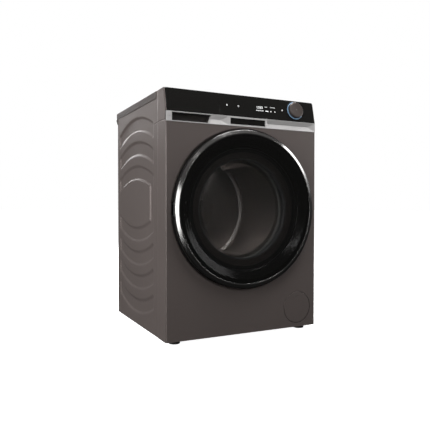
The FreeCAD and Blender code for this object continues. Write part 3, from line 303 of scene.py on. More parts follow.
# %% Shader arithmetic
class Value:
    """One socket of a shader node, ready for Python arithmetic."""

    def __init__(self, finish, socket):
        self.finish = finish
        self.socket = socket

    def math(self, operation, *others):
        return self.finish.node("ShaderNodeMath", {"operation": operation}, self, *others).out()

    def __add__(self, other):
        return self.math("ADD", other)

    def __sub__(self, other):
        return self.math("SUBTRACT", other)

    def __mul__(self, other):
        return self.math("MULTIPLY", other)

    def __rsub__(self, other):
        return self.finish.node("ShaderNodeMath", {"operation": "SUBTRACT"}, other, self).out()

    __radd__ = __add__
    __rmul__ = __mul__


class Made:
    """A node that has been made, and its outputs."""

    def __init__(self, finish, node):
        self.finish = finish
        self.node = node

    def out(self, name=0):
        return Value(self.finish, self.node.outputs[name])


class Finish:
    """A material with one Principled shader."""

    def __init__(self, name, **sockets):
        self.material = bpy.data.materials.new(name)
        self.material.use_nodes = True
        self.tree = self.material.node_tree
        self.shader = self.tree.nodes["Principled BSDF"]
        self.set(self.shader, sockets)

    def set(self, node, sockets):
        for key, value in sockets.items():
            socket = node.inputs[key.replace("_", " ") if isinstance(key, str) else key]
            if isinstance(value, Value):
                self.tree.links.new(value.socket, socket)
            elif socket.type == "RGBA" and len(value) == 3:
                socket.default_value = (*value, 1)
            else:
                socket.default_value = value

    def node(self, kind, settings=None, *in_order, **sockets):
        made = self.tree.nodes.new(kind)
        for key, value in (settings or {}).items():
            setattr(made, key, value)
        self.set(made, dict(enumerate(in_order)))
        self.set(made, sockets)
        return Made(self, made)

    def place(self, scale=(1, 1, 1)):
        """Object coordinates, in metres, stretched by a scale."""
        where = self.node("ShaderNodeTexCoord").out("Object")
        return self.node("ShaderNodeMapping", {}, Vector=where, Scale=scale).out()

    def noise(self, scale, detail=3, stretch=(1, 1, 1), rough=0.5):
        return self.node("ShaderNodeTexNoise", {}, Vector=self.place(stretch), Scale=scale,
                         Detail=detail, Roughness=rough).out("Fac")

    def blend(self, share, first, second):
        """A colour between two colours."""
        mix = self.node("ShaderNodeMix", {"data_type": "RGBA"})
        self.set(mix.node, {0: share, 6: first, 7: second})
        return Value(self, mix.node.outputs[2])

    def relief(self, height, strength=0.2, distance=0.0005):
        bump = self.node("ShaderNodeBump", {}, Height=height, Strength=strength, Distance=distance)
        self.set(self.shader, {"Normal": bump.out()})


def shade(colour, factor):
    """A colour made lighter or darker."""
    return tuple(min(1, channel * factor) for channel in colour)


print("shader helpers ready")

# %% [markdown]
# ## The finishes
# Each finish is a base colour that drifts a little over the surface, a roughness that drifts with it,
# and a fine relief. A drifting roughness is what makes a coating look real: highlights break up
# softly instead of ending in a hard line.

# %% A general coating
def coating(name, colour, rough, drift=0.12, drift_scale=6, grain=900, relief=0.03, distance=0.0002,
            rough_drift=0.06, stretch=(1, 1, 1), **sockets):
    """Base colour and roughness that drift, with a fine grain in the relief."""
    finish = Finish(name, **sockets)
    cloud = finish.noise(drift_scale, 4, stretch)
    fine = finish.noise(grain, 2, stretch)
    tone = cloud * 0.7 + fine * 0.3
    finish.set(finish.shader, {
        "Base Color": finish.blend(tone, shade(colour, 1 - drift), shade(colour, 1 + drift)),
        "Roughness": tone * (2 * rough_drift) + (rough - rough_drift),
    })
    finish.relief(fine, relief, distance)
    return finish.material


def flaked(name, colour, rough):
    """Metallic paint: a tinted metal coat with tiny flakes under a satin clear coat."""
    finish = Finish(name, Metallic=0.35, Coat_Weight=0.18, Coat_Roughness=0.28, Specular_IOR_Level=0.4)
    flakes = finish.node("ShaderNodeTexVoronoi", {}, Vector=finish.place(), Scale=2600).out("Color")
    spark = finish.node("ShaderNodeSeparateColor", {}, flakes).out("Red")
    cloud = finish.noise(3.5, 3)
    tone = spark * 0.5 + cloud * 0.5
    finish.set(finish.shader, {
        "Base Color": finish.blend(tone, shade(colour, 0.86), shade(colour, 1.14)),
        "Roughness": cloud * 0.08 + spark * 0.05 + (rough - 0.06),
    })
    finish.relief(finish.noise(420, 2), 0.05, 0.0002)
    return finish.material


print("coatings ready")

# %% Paint, plastics and rubber
ANTHRACITE = (0.115, 0.096, 0.090)
body_paint = flaked("anthracite_paint", ANTHRACITE, 0.42)
body_plastic = coating("anthracite_plastic", shade(ANTHRACITE, 0.55), 0.45, Metallic=0.5)
laminate = coating("worktop_laminate", shade(ANTHRACITE, 0.95), 0.5, grain=1800, relief=0.12, Metallic=0.2)
gloss_black = coating("gloss_black_fascia", (0.0075, 0.0072, 0.0066), 0.10, rough_drift=0.02,
                      relief=0.004, Specular_IOR_Level=0.3)
door_black = coating("door_band_black", (0.006, 0.006, 0.0058), 0.16, rough_drift=0.02, relief=0.0)
black_plastic = coating("black_plastic", (0.012, 0.012, 0.012), 0.45, relief=0.15, grain=1500)
# Painted shade: near black for the drawer pull's cup, standing in for the shadow deep in its finger recess.
pull_recess_painted_shade = coating("pull_recess_painted_shade", (0.022, 0.019, 0.017), 0.5, relief=0.12, grain=1500)
white_plastic = coating("white_plastic", (0.62, 0.63, 0.63), 0.4, drift=0.04, relief=0.05)
blue_plastic = coating("blue_plastic", (0.05, 0.16, 0.42), 0.35, drift=0.06)
tub_plastic = coating("tub_plastic", (0.42, 0.42, 0.40), 0.55, relief=0.15, grain=700)
grey_rubber = coating("gasket_rubber", (0.16, 0.16, 0.165), 0.6, relief=0.2, grain=1300)
foot_rubber = coating("foot_rubber", (0.018, 0.018, 0.018), 0.75, relief=0.3, grain=1400)
belt_rubber = coating("belt_rubber", (0.02, 0.02, 0.02), 0.7, relief=0.3, grain=800)
board_green = coating("coated_board", (0.02, 0.13, 0.06), 0.35, grain=2400, relief=0.1)
print("plastics:", white_plastic.name, black_plastic.name, grey_rubber.name)

# %% [markdown]
# ## Metals and glass
# The door's ring is nearly a mirror, so its look comes from what it reflects. The trim bar is a satin
# silver paint with little metal in it, because its facets should stay light from most sides.
# Galvanised sheet has a crystalline spangle, which Voronoi cells give.

# %% Metals
def spangled(name):
    """Galvanised sheet: flat grey crystals a few millimetres wide."""
    finish = Finish(name, Metallic=0.9)
    cells = finish.node("ShaderNodeTexVoronoi", {}, Vector=finish.place(), Scale=130).out("Color")
    crystal = finish.node("ShaderNodeSeparateColor", {}, cells).out("Red")
    cloud = finish.noise(5, 3)
    finish.set(finish.shader, {
        "Base Color": finish.blend(crystal * 0.6 + cloud * 0.4, (0.40, 0.41, 0.42), (0.60, 0.61, 0.62)),
        "Roughness": crystal * 0.16 + 0.34,
    })
    finish.relief(cloud, 0.05, 0.0005)
    return finish.material


galvanised = spangled("galvanised_sheet")
bright_trim = coating("bright_trim", (0.56, 0.55, 0.545), 0.30, drift=0.05, rough_drift=0.04,
                      grain=500, relief=0.01, stretch=(0.15, 1, 1), Metallic=0.3)
chrome_ring = coating("door_ring_metal", (0.31, 0.305, 0.30), 0.12, drift=0.05, rough_drift=0.03,
                      relief=0.008, Metallic=1.0)
drum_steel = coating("drum_steel", (0.50, 0.46, 0.44), 0.36, drift=0.06, grain=260, relief=0.01,
                     stretch=(1, 0.1, 1), Metallic=1.0)
plain_steel = coating("plain_steel", (0.45, 0.45, 0.46), 0.35, grain=700, relief=0.06, Metallic=1.0)
# Painted shade: near-black metal for the door hinge, so that it stays as dark as the shadow in the door's
# notch.
hinge_painted_shade_steel = coating("hinge_painted_shade", (0.012, 0.012, 0.012), 0.42, grain=700, relief=0.06, Metallic=0.6)
cast_metal = coating("cast_metal", (0.40, 0.40, 0.41), 0.5, grain=350, relief=0.4, Metallic=0.9)
weight_paint = coating("counterweight_paint", (0.10, 0.10, 0.10), 0.65, grain=160, relief=0.5,
                       distance=0.001)
dial_paint = coating("dial_paint", (0.068, 0.055, 0.050), 0.34, drift=0.08, grain=1600, Metallic=0.55)
print("metals:", galvanised.name, bright_trim.name, chrome_ring.name)

# %% [markdown]
# The door's outer glass is smoked and the bowl behind it is nearly clear. Alpha lets part of what is
# behind a pane through, while its surface stays polished.

# %% Glass
def pane(name, colour, alpha, rough, **sockets):
    """Glass whose clearness and polish vary slightly, as a wiped pane does."""
    finish = Finish(name, **sockets)
    smear = finish.noise(7, 4, (1, 1, 2.5))
    finish.set(finish.shader, {
        "Base Color": finish.blend(smear, shade(colour, 0.9), shade(colour, 1.1)),
        "Roughness": smear * 0.03 + rough,
        "Alpha": smear * 0.04 + (alpha - 0.02),
    })
    return finish.material


smoked_glass = pane("smoked_glass", (0.007, 0.007, 0.0066), 0.40, 0.03, Specular_IOR_Level=0.12)
bowl_glass = pane("bowl_glass", (0.03, 0.033, 0.033), 0.10, 0.02, Specular_IOR_Level=0.6)
print("glass:", smoked_glass.name, bowl_glass.name)

# %% [markdown]
# The display, the dial's dot and its ring glow a little. Each is a lamp behind a diffuser.

# %% Lit signs
def lit(name, colour, strength):
    """A lamp behind a diffuser: its light is a little uneven."""
    finish = Finish(name, Roughness=0.4, Emission_Strength=strength)
    uneven = finish.noise(300, 2)
    finish.set(finish.shader, {
        "Base Color": finish.blend(uneven, shade(colour, 0.8), colour),
        "Emission Color": finish.blend(uneven, shade(colour, 0.75), colour),
    })
    return finish.material


sign_white = lit("lit_sign", (0.80, 0.81, 0.81), 0.7)
dim_sign = lit("dim_sign", (0.25, 0.24, 0.23), 0.15)
ring_blue = lit("lit_ring", (0.16, 0.27, 0.40), 0.28)
print("lit signs ready")

# %% [markdown]
# ## Dressing the frame
# Nodes whose shape is already right only need their finish. The list goes by what each piece is made
# of, as a parts list would.

# %% Finishes for the carried-over nodes
def dress(material, *names):
    for name in names:
        slots = nodes[name].data.materials
        slots.clear()
        slots.append(material)


dress(body_paint, "left_side_panel", "right_side_panel", "front_panel", "service_flap")
dress(body_plastic, "worktop_surround")
dress(laminate, "worktop_board")
dress(galvanised, "rear_panel", "rear_service_cover", "base_tray", "top_cross_rails")
dress(plain_steel, "rear_screws", "door_latch_hook", "suspension_springs", "drum_bearings",
      "motor_pulley", "damper_rods")
# The hinge parts get near black as painted shade for the dark notch they sit in.
dress(hinge_painted_shade_steel, "door_hinge_bracket", "door_hinge_pin", "door_hinge_leaf")
dress(gloss_black, "control_fascia", "drawer_front", "trim_label")
dress(bright_trim, "trim_strip", "drawer_pull")
dress(chrome_ring, "door_chrome_ring")
dress(dial_paint, "dial_knob")
dress(ring_blue, "dial_light_ring")
dress(board_green, "control_board")
dress(white_plastic, "dispenser_housing", "drawer_tray", "drain_pump", "drum_lifters", "inlet_valve")
dress(blue_plastic, "siphon_cap", "drawer_release_tab")
dress(door_black, "door_frame")
dress(black_plastic, "door_inner_ring", "door_lock", "filter_cap", "service_niche", "drain_outlet",
      "cord_gland", "damper_cylinders")
dress(smoked_glass, "door_cover_glass")
dress(bowl_glass, "door_glass_bowl")
dress(grey_rubber, "door_gasket")
dress(tub_plastic, "tub_front", "tub_rear")
dress(weight_paint, "top_counterweight", "front_counterweight")
dress(drum_steel, "drum_shell", "heating_element")
dress(cast_metal, "drum_spider", "drum_pulley", "motor")
dress(belt_rubber, "drive_belt")
dress(foot_rubber, "front_left_foot", "front_right_foot", "rear_left_foot", "rear_right_foot")


def fitted(piece, material, body, slot, *stands_for):
    """Gives a new piece its finish, the body it moves with and the node it stands for."""
    piece.data.materials.clear()
    piece.data.materials.append(material)
    modified(piece, "WEIGHTED_NORMAL", keep_sharp=True)
    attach(piece, body)
    if stands_for:
        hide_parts(*stands_for)
    print("%-22s %6d faces" % (piece.name, len(piece.data.polygons)))
    return piece


# %% [markdown]
# ## Side panels
# The real panel is one sheet with shallow arched bands pressed into it, which stiffen it against the
# drum's shaking. Cutting the bands out of a plate would give hard edges, but pressed steel rolls into
# its hollows. So the panel is a fine grid, and each point is pushed in by a smooth step across the
# edges of the bands.

# %% Pressed side panels
side_low, side_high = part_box("left_side_panel")
BAND_FRONT = FRONT + 123 * MM
BAND_LONG, BAND_RISE, BAND_TALL, BAND_STEP = 407 * MM, 43 * MM, 48 * MM, 90 * MM
BAND_TOP, BAND_LOW, BAND_DEEP, BAND_ROLL = 790 * MM, 60 * MM, 4 * MM, 6.5 * MM
STRIP_WIDE = 34 * MM
BAND_BACK = BAND_FRONT + BAND_LONG
BAND_MIDDLE = (BAND_FRONT + BAND_BACK) / 2
BAND_CURVE = (BAND_LONG ** 2 / 4 + BAND_RISE ** 2) / (2 * BAND_RISE)
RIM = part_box("worktop_surround")[0].z


def step_in(distance):
    """0 outside an edge, 1 well inside it, and smooth across it."""
    share = min(max(distance / BAND_ROLL + 0.5, 0), 1)
    return share * share * (3 - 2 * share)


def band_share(y, z, edge, way):
    """How far a point is inside one band: way is 1 for an arch and -1 for its mirror."""
    fall = BAND_CURVE - math.sqrt(max(BAND_CURVE ** 2 - (y - BAND_MIDDLE) ** 2, 0))
    outer = (edge - way * fall - z) * way
    ends = step_in(y - BAND_FRONT) * step_in(BAND_BACK - y)
    return step_in(outer) * step_in(BAND_TALL - outer) * ends


def strip_share(y, z):
    """How far a point is inside the upright band in front of the plateau."""
    low = BAND_LOW + 3 * BAND_STEP + BAND_RISE
    high = BAND_TOP - 2 * BAND_STEP - BAND_RISE
    return (step_in(y - BAND_FRONT) * step_in(BAND_FRONT + STRIP_WIDE - y)
            * step_in(z - low) * step_in(high - z))


def pressed_depth(y, z):
    if not BAND_FRONT - BAND_ROLL < y < BAND_BACK + BAND_ROLL:
        return 0
    shares = [band_share(y, z, BAND_TOP - BAND_STEP * index, 1) for index in range(3)]
    shares += [band_share(y, z, BAND_LOW + BAND_STEP * index, -1) for index in range(4)]
    shares.append(strip_share(y, z))
    return BAND_DEEP * max(shares)


CREASE_Y, CREASE_STEP = FRONT + 76 * MM, 1.1 * MM
SEAM_Z, SEAM_END, SEAM_DEEP, SEAM_WIDE = 743 * MM, FRONT + 122 * MM, 0.9 * MM, 1.3 * MM


def folded_depth(y, z):
    """The fold behind the smooth front band, and the seam under the raised cheek."""
    fold = CREASE_STEP * min(max((y - CREASE_Y) / (5 * MM) + 0.5, 0), 1)
    seam_z = SEAM_Z - max(y - FRONT - 70 * MM, 0) ** 2 * 2.2
    fade = min(max((SEAM_END - y) / (30 * MM), 0), 1)
    return fold + fade * SEAM_DEEP * math.exp(-((z - seam_z) / SEAM_WIDE) ** 2)


def places(low, high, count, dense_at, dense_by, extra):
    """Evenly spaced places from low to high, with some more packed in around one of them."""
    spots = {low + (high - low) * step / count for step in range(count + 1)}
    spots |= {dense_at + dense_by * (2 * step / extra - 1) for step in range(extra + 1)}
    return sorted(spots)


def side_sheet(name, side):
    """A grid over the panel, pressed, cut to the cheek's slope and given its thickness."""
    rows_y = places(side_low.y, side_high.y, 142, CREASE_Y, 4 * MM, 6)
    rows_z = places(side_low.z, side_high.z, 210, SEAM_Z - 1.5 * MM, 6 * MM, 16)
    deselect()
    bpy.ops.mesh.primitive_grid_add(x_subdivisions=len(rows_y) - 1, y_subdivisions=len(rows_z) - 1, size=1)
    sheet = named(name)
    for vertex in sheet.data.vertices:
        y = rows_y[round((vertex.co.x + 0.5) * (len(rows_y) - 1))]
        z = rows_z[round((vertex.co.y + 0.5) * (len(rows_z) - 1))]
        vertex.co = (side * (HALF - pressed_depth(y, z) - folded_depth(y, z)), y, z)
    edit_all(sheet, "FACE")
    lean = Vector((0, -(TOP - TRIM_HIGH), FASCIA_LEAN))
    bpy.ops.mesh.bisect(plane_co=(0, side_low.y, TRIM_HIGH), plane_no=lean, clear_outer=True)
    finish_mesh(sheet, 60)
    edit_all(sheet, "FACE")
    cheek_back = FRONT + 90 * MM
    bpy.ops.mesh.bisect(plane_co=(0, 0, RIM - 0.3 * MM), plane_no=(0, 0, 1))
    bpy.ops.mesh.select_all(action="SELECT")
    bpy.ops.mesh.bisect(plane_co=(0, cheek_back, 0), plane_no=(0, 1, 0))
    mesh = bmesh.from_edit_mesh(sheet.data)
    for face in mesh.faces:
        middle = face.calc_center_median()
        face.select = middle.y > cheek_back and middle.z > RIM - 0.3 * MM
    bmesh.update_edit_mesh(sheet.data)
    bpy.ops.mesh.delete(type="FACE")
    only(sheet)
    outwards = sum((face.normal.x for face in sheet.data.polygons)) * side > 0
    if not outwards:
        edit_all(sheet)
        bpy.ops.mesh.flip_normals()
    modified(sheet, "SOLIDIFY", thickness=1.2 * MM, offset=-1)
    return smoothed(sheet, 50)


for sheet_name, side in (("left_side_panel", -1), ("right_side_panel", 1)):
    fitted(side_sheet(sheet_name.replace("panel", "sheet"), side), body_paint, "cabinet", "body_paint",
           sheet_name)

# %% [markdown]
# ## Worktop
# A melamine board lies in a moulded surround. At the back the surround overhangs the rear panel and
# tapers under, which spaces the machine off the wall for its hoses.

# %% Worktop
top_low, top_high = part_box("worktop_surround")
cheek_y = FRONT + 90.3 * MM
inner = HALF - 1.5 * MM
outline = rounded([(-HALF, cheek_y, 0), (-inner, cheek_y, 0), (-inner, top_low.y, 2 * MM),
                   (inner, top_low.y, 2 * MM), (inner, cheek_y, 0), (HALF, cheek_y, 0),
                   (HALF, top_high.y, 10 * MM), (-HALF, top_high.y, 10 * MM)], 2 * MM)
surround = extruded("worktop_edge", outline, from_above, RIM, TOP - 0.2 * MM)
board_low, board_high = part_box("worktop_board")


def board_outline(gap):
    """The board's outline seen from above, grown by a gap."""
    return rounded(box_outline(board_low.x - gap, board_low.y - gap, board_high.x + gap,
                               board_high.y + gap), 4 * MM)


pocket = extruded("pocket", board_outline(0.3 * MM), from_above, board_low.z, TOP + 5 * MM)
softened(carved(surround, pocket), 1.6 * MM)
skirt_front, skirt_low, skirt_high = REAR + 0.3 * MM, RIM - 22 * MM, RIM + 0.2 * MM
skirt_outline = rounded([(skirt_front, skirt_high, 0), (skirt_front, skirt_low, 0),
                         (REAR + 3 * MM, skirt_low), (top_high.y, RIM - 2 * MM, 6 * MM),
                         (top_high.y, skirt_high, 0)], 2 * MM)
skirt = softened(extruded("worktop_skirt", skirt_outline, on_side, -HALF, HALF), 0.8 * MM)
fitted(merged("worktop_edge", surround, skirt), body_plastic, "cabinet", "body_plastic",
       "worktop_surround")
board = extruded("worktop_panel", board_outline(0), from_above, board_low.z, TOP)
softened(board, 0.8 * MM)
fitted(board, laminate, "cabinet", "worktop_laminate", "worktop_board")

# %% [markdown]
# ## Control fascia
# One leaning, glossy black moulding with small rounded corners at its top ends. The left end of it is
# the front of the detergent drawer, split off by a hairline gap, so it is a piece of its own. A narrow
# body-coloured cheek closes the left end.

# %% Fascia plates and cheek
SPLIT_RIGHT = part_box("control_fascia")[0].x
SPLIT_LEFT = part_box("drawer_front")[1].x
PLATE_LEFT, PLATE_RIGHT = -HALF + 4.2 * MM, HALF - 0.8 * MM
PLATE_THICK = 6 * MM


def fascia_plate(name, left, right, left_round, right_round):
    outline = rounded([(left, 0.4 * MM, 0), (right, 0.4 * MM, 0),
                       (right, SLOPE_LONG - 0.3 * MM, right_round),
                       (left, SLOPE_LONG - 0.3 * MM, left_round)], 0)
    return softened(extruded(name, outline, on_fascia, -PLATE_THICK, 0), 0.9 * MM)


right_plate = fascia_plate("fascia_plate", SPLIT_RIGHT, PLATE_RIGHT, 0, 9 * MM)
DIAL, DIAL_HOLE = on_fascia(213 * MM, 42.4 * MM, 0), 8.3 * MM
carved(right_plate, drill("dial_hole", DIAL_HOLE, -30 * MM, 30 * MM, DIAL, 48, -OUT_OF_SLOPE))
fitted(right_plate, gloss_black, "cabinet", "gloss_black", "control_fascia")
fitted(fascia_plate("drawer_plate", PLATE_LEFT, SPLIT_LEFT, 3 * MM, 0), gloss_black, "drawer",
       "gloss_black", "drawer_front")
cheek_outline = box_outline(-HALF + 1.4 * MM, 0.4 * MM, PLATE_LEFT - 0.4 * MM, SLOPE_LONG - 0.6 * MM)
cheek = extruded("fascia_cheek", cheek_outline, on_fascia, -PLATE_THICK, -0.4 * MM)
fitted(softened(cheek, 0.6 * MM), body_paint, "cabinet", "body_paint")

# %% [markdown]
# ## Signs on the fascia
# A real panel prints and lights its signs behind the black surface. Here they are thin plates that
# stand a tenth of a millimetre out: seven-bar digits for the time, and plain marks for the touch keys.

# %% Digits and marks
SIGN_OUT = 0.12 * MM
DIGIT_BARS = {"1": "bc", "2": "abged", "8": "abcdefg", "0": "abcdef"}


def mark(name, outline):
    return extruded(name, outline, on_fascia, -0.05 * MM, SIGN_OUT)


def bars_of(letter, x, v, wide, tall, thick):
    """The lit bars of one digit, as boxes on the fascia."""
    half = tall / 2
    right, top = x + wide, v + tall
    spots = {
        "a": (x, top - thick, right, top), "b": (right - thick, v + half, right, top),
        "c": (right - thick, v, right, v + half), "d": (x, v, right, v + thick),
        "e": (x, v, x + thick, v + half), "f": (x, v + half, x + thick, top),
        "g": (x, v + half - thick / 2, right, v + half + thick / 2),
    }
    return [mark("bar", box_outline(*spots[bar])) for bar in DIGIT_BARS[letter]]


def ring_mark(x, v, radius, wide):
    outside = [(x + radius * math.cos(a), v + radius * math.sin(a))
               for a in [math.tau * step / 20 for step in range(20)]]
    plate = mark("ring_mark", outside)
    hole = extruded("hole", [(x + (u - x) * (1 - wide / radius), v + (t - v) * (1 - wide / radius))
                             for u, t in outside], on_fascia, -1 * MM, 1 * MM)
    return carved(plate, hole)


signs = []
DISPLAY_LEFT, DISPLAY_UP = 46 * MM, 38 * MM
for index, letter in enumerate("1280"):
    signs += bars_of(letter, DISPLAY_LEFT + index * 7.5 * MM, DISPLAY_UP, 5 * MM, 8.5 * MM, 1.1 * MM)
for row_left, wide in ((82, 10), (106, 20)):
    signs.append(mark("line", box_outline(row_left * MM, 45 * MM, (row_left + wide) * MM, 46.2 * MM)))
for index in range(4):
    left = DISPLAY_LEFT + index * 8 * MM
    signs.append(mark("tick", box_outline(left, 29 * MM, left + 5.5 * MM, 31.6 * MM)))
for left, wide in ((84, 12), (105, 4), (122, 4)):
    signs.append(mark("key_mark", box_outline(left * MM, 28.5 * MM, (left + wide) * MM, 31.8 * MM)))
for x in (-70.7, -25.5, 156.9):
    signs.append(ring_mark(x * MM, 39.5 * MM, 2.9 * MM, 0.9 * MM))
    signs.append(mark("stroke", box_outline((x - 0.5) * MM, 38 * MM, (x + 0.5) * MM, 41.5 * MM)))
fitted(merged("fascia_signs", *signs), sign_white, "cabinet", "lamp_plastic")

# %% [markdown]
# ## Dial
# A knob with a fluted edge stands in a softly lit ring. Its face is one surface: a fine groove near
# the rim and a shallow dish make it look like a disc in a ring. A dim dot marks its centre.

# %% Dial and its ring
DIAL_RAD, DIAL_OUT = 29.5 * MM, 12 * MM
knob_profile = rounded([(0, 20 * MM, 0), (8 * MM, 20 * MM, 0), (8 * MM, -0.5 * MM, 0),
                        (DIAL_RAD, -0.5 * MM), (DIAL_RAD, -DIAL_OUT + 1 * MM, 1.4 * MM),
                        (DIAL_RAD - 2.5 * MM, -DIAL_OUT), (DIAL_RAD - 3 * MM, -DIAL_OUT + 0.7 * MM),
                        (DIAL_RAD - 3.5 * MM, -DIAL_OUT), (14 * MM, -DIAL_OUT + 0.5 * MM, 3 * MM),
                        (0, -DIAL_OUT + 0.7 * MM, 0)], 0.3 * MM, 3)
knob = spun("dial", knob_profile, DIAL, 120, -OUT_OF_SLOPE, 25)
for vertex in knob.data.vertices:
    arm = vertex.co - DIAL
    depth = arm.dot(OUT_OF_SLOPE)
    radial = arm - OUT_OF_SLOPE * depth
    if radial.length > DIAL_RAD - 0.2 * MM and 1.5 * MM < depth < DIAL_OUT - 1.5 * MM:
        turn = math.atan2(radial.dot(UP_SLOPE), radial.x)
        vertex.co -= radial.normalized() * (0.25 * MM * (1 + math.cos(60 * turn)))
fitted(knob, dial_paint, "dial", "dial_metal", "dial_knob")
lamp = spun("dial_lamp", rounded([(30.1 * MM, 0, 0), (33 * MM, 0, 0), (33 * MM, -1 * MM),
                                  (31 * MM, -1.6 * MM), (30.1 * MM, -1.6 * MM)], 0.4 * MM, 3),
            DIAL, 96, -OUT_OF_SLOPE)
fitted(lamp, ring_blue, "cabinet", "lamp_plastic", "dial_light_ring")
centre_dot = spun("dial_dot", rounded([(0, -DIAL_OUT + 0.2 * MM, 0), (1.3 * MM, -DIAL_OUT + 0.3 * MM),
                                       (1.3 * MM, -DIAL_OUT + 1.2 * MM, 0), (0, -DIAL_OUT + 1.2 * MM, 0)],
                                      0.2 * MM, 3), DIAL, 24, -OUT_OF_SLOPE)
fitted(centre_dot, dim_sign, "dial", "lamp_plastic")

# %% [markdown]
# ## Bright trim bar
# A bar of bright metal with sunk, hipped facets, like the inside of a shallow roof. A rectangle that
# is inset by half its own height gives those four facets. Moving the middle in makes the valley, and
# sliding the ends of the valley makes one hip long and the other short. A flat black label plate sits
# between two of these bars, and the left end is the drawer's pull.

# %% Trim facets
TRIM_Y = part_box("trim_strip")[0].y
TRIM_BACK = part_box("trim_strip")[1].y
TRIM_TALL = TRIM_HIGH - TRIM_LOW
TRIM_END = HALF - 1 * MM


def facet_bar(name, left, right, left_hip, right_hip, sink=4.5 * MM, rim=1.4 * MM):
    """A bar whose front is a valley with a sloping hip at each end, inside a narrow rim."""
    bar = extruded(name, box_outline(left, TRIM_LOW, right, TRIM_HIGH), on_front, TRIM_Y, TRIM_BACK)
    edit_all(bar, "FACE")
    mesh = bmesh.from_edit_mesh(bar.data)
    for face in mesh.faces:
        face.select = face.normal.y < -0.9
    bmesh.update_edit_mesh(bar.data)
    bpy.ops.mesh.inset(thickness=rim, depth=0)
    bpy.ops.mesh.inset(thickness=TRIM_TALL / 2 - rim - 0.3 * MM, depth=0)
    mesh = bmesh.from_edit_mesh(bar.data)
    for vertex in mesh.verts:
        if vertex.select:
            vertex.co.x = left + left_hip if vertex.co.x < (left + right) / 2 else right - right_hip
            vertex.co.y += sink
    bmesh.update_edit_mesh(bar.data)
    only(bar)
    return softened(bar, 0.2 * MM, 2, 8)


def kept_side(bar, x, keep_right):
    """Cuts a bar square at x, keeps one side and closes the cut."""
    edit_all(bar, "FACE")
    way = -1 if keep_right else 1
    bpy.ops.mesh.bisect(plane_co=(x, 0, 0), plane_no=(way, 0, 0), clear_outer=True, use_fill=True)
    return finish_mesh(bar, 12)


LABEL_LOW, LABEL_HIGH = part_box("trim_label")
left_tip = facet_bar("left_tip", -140 * MM, -64.5 * MM, 2.5 * MM, 35 * MM)
drawer_tip = kept_side(copied(left_tip, "drawer_tip"), SPLIT_LEFT, False)
left_tip = kept_side(left_tip, SPLIT_RIGHT, True)
right_bar = facet_bar("right_bar", 84 * MM, TRIM_END, 7 * MM, 32 * MM)
label_bar = extruded("label_bar", box_outline(-64.5 * MM, TRIM_LOW, 84 * MM, TRIM_HIGH), on_front,
                     TRIM_Y, TRIM_BACK)
label_room = extruded("label_room", front_face(LABEL_LOW, LABEL_HIGH, 0.3 * MM), on_front,
                      TRIM_Y - 5 * MM, TRIM_Y + 2 * MM)
softened(carved(label_bar, label_room), 0.25 * MM, 2)
carved(right_bar, drill("pin_hole", 1.6 * MM, TRIM_Y - 5 * MM, TRIM_Y + 7 * MM, (263.5 * MM, 0, 756 * MM)))
fitted(merged("trim_bar", left_tip, label_bar, right_bar), bright_trim, "cabinet", "bright_trim",
       "trim_strip")
label = extruded("label_plate", rounded(front_face(LABEL_LOW, LABEL_HIGH), 0.8 * MM), on_front,
                 TRIM_Y + 0.25 * MM, LABEL_HIGH.y)
fitted(softened(label, 0.25 * MM, 2), gloss_black, "cabinet", "gloss_black", "trim_label")

# %% [markdown]
# ## Drawer pull
# The pull is a deep finger recess behind a thin bright frame. The recess is an open cup coloured
# near black as painted shade for its depth, and its right end slants as the bar's facets do.

# %% Drawer pull
PULL_LEFT, PULL_RIGHT, PULL_SLANT = -277 * MM, -134 * MM, 11 * MM
pull_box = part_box("drawer_pull")
FRAME_RIM = 2.4 * MM
recess_outline = [(PULL_LEFT, TRIM_LOW + FRAME_RIM), (PULL_RIGHT - PULL_SLANT, TRIM_LOW + FRAME_RIM),
                  (PULL_RIGHT, TRIM_HIGH - FRAME_RIM), (PULL_LEFT, TRIM_HIGH - FRAME_RIM)]
bright_frame = extruded("pull_frame", box_outline(-296 * MM, TRIM_LOW, -140 * MM, TRIM_HIGH), on_front,
                        TRIM_Y, TRIM_BACK)
carved(bright_frame, extruded("recess_cut", recess_outline, on_front, TRIM_Y - 5 * MM, TRIM_BACK + 5 * MM))
carved(drawer_tip, extruded("tip_cut", recess_outline, on_front, TRIM_Y - 5 * MM, TRIM_BACK + 5 * MM))
softened(bright_frame, 0.25 * MM, 2)
carved(bright_frame, drill("end_hole", 2.2 * MM, TRIM_Y - 5 * MM, TRIM_Y + 4 * MM, (-285 * MM, 0, 754 * MM)))
fitted(merged("pull_frame", bright_frame, drawer_tip), bright_trim, "drawer", "bright_trim")


def grown(outline, by):
    """An outline moved outwards by a distance in u and v."""
    middle_u = sum(u for u, v in outline) / len(outline)
    middle_v = sum(v for u, v in outline) / len(outline)
    return [(u + math.copysign(by, u - middle_u), v + math.copysign(by, v - middle_v)) for u, v in outline]


cup = extruded("pull_cup", grown(recess_outline, 1.6 * MM), on_front, TRIM_BACK + 0.1 * MM, pull_box[1].y)
cup_hollow = extruded("cup_hollow", recess_outline, on_front, TRIM_Y, pull_box[1].y - 2 * MM)
carved(cup, cup_hollow)
softened(cup, 0.5 * MM, 2)
# The cup's near-black colour is painted shade for the deep recess.
fitted(cup, pull_recess_painted_shade, "drawer", "bright_trim", "drawer_pull")

# %% [markdown]
# ## Service flap
# A round flap flush with the front sheet, with a hairline gap round it and a small coin notch near
# its top. It snaps into the cup behind it by a collar. A turned disc with a rolled edge does it, and
# the notch is carved last.

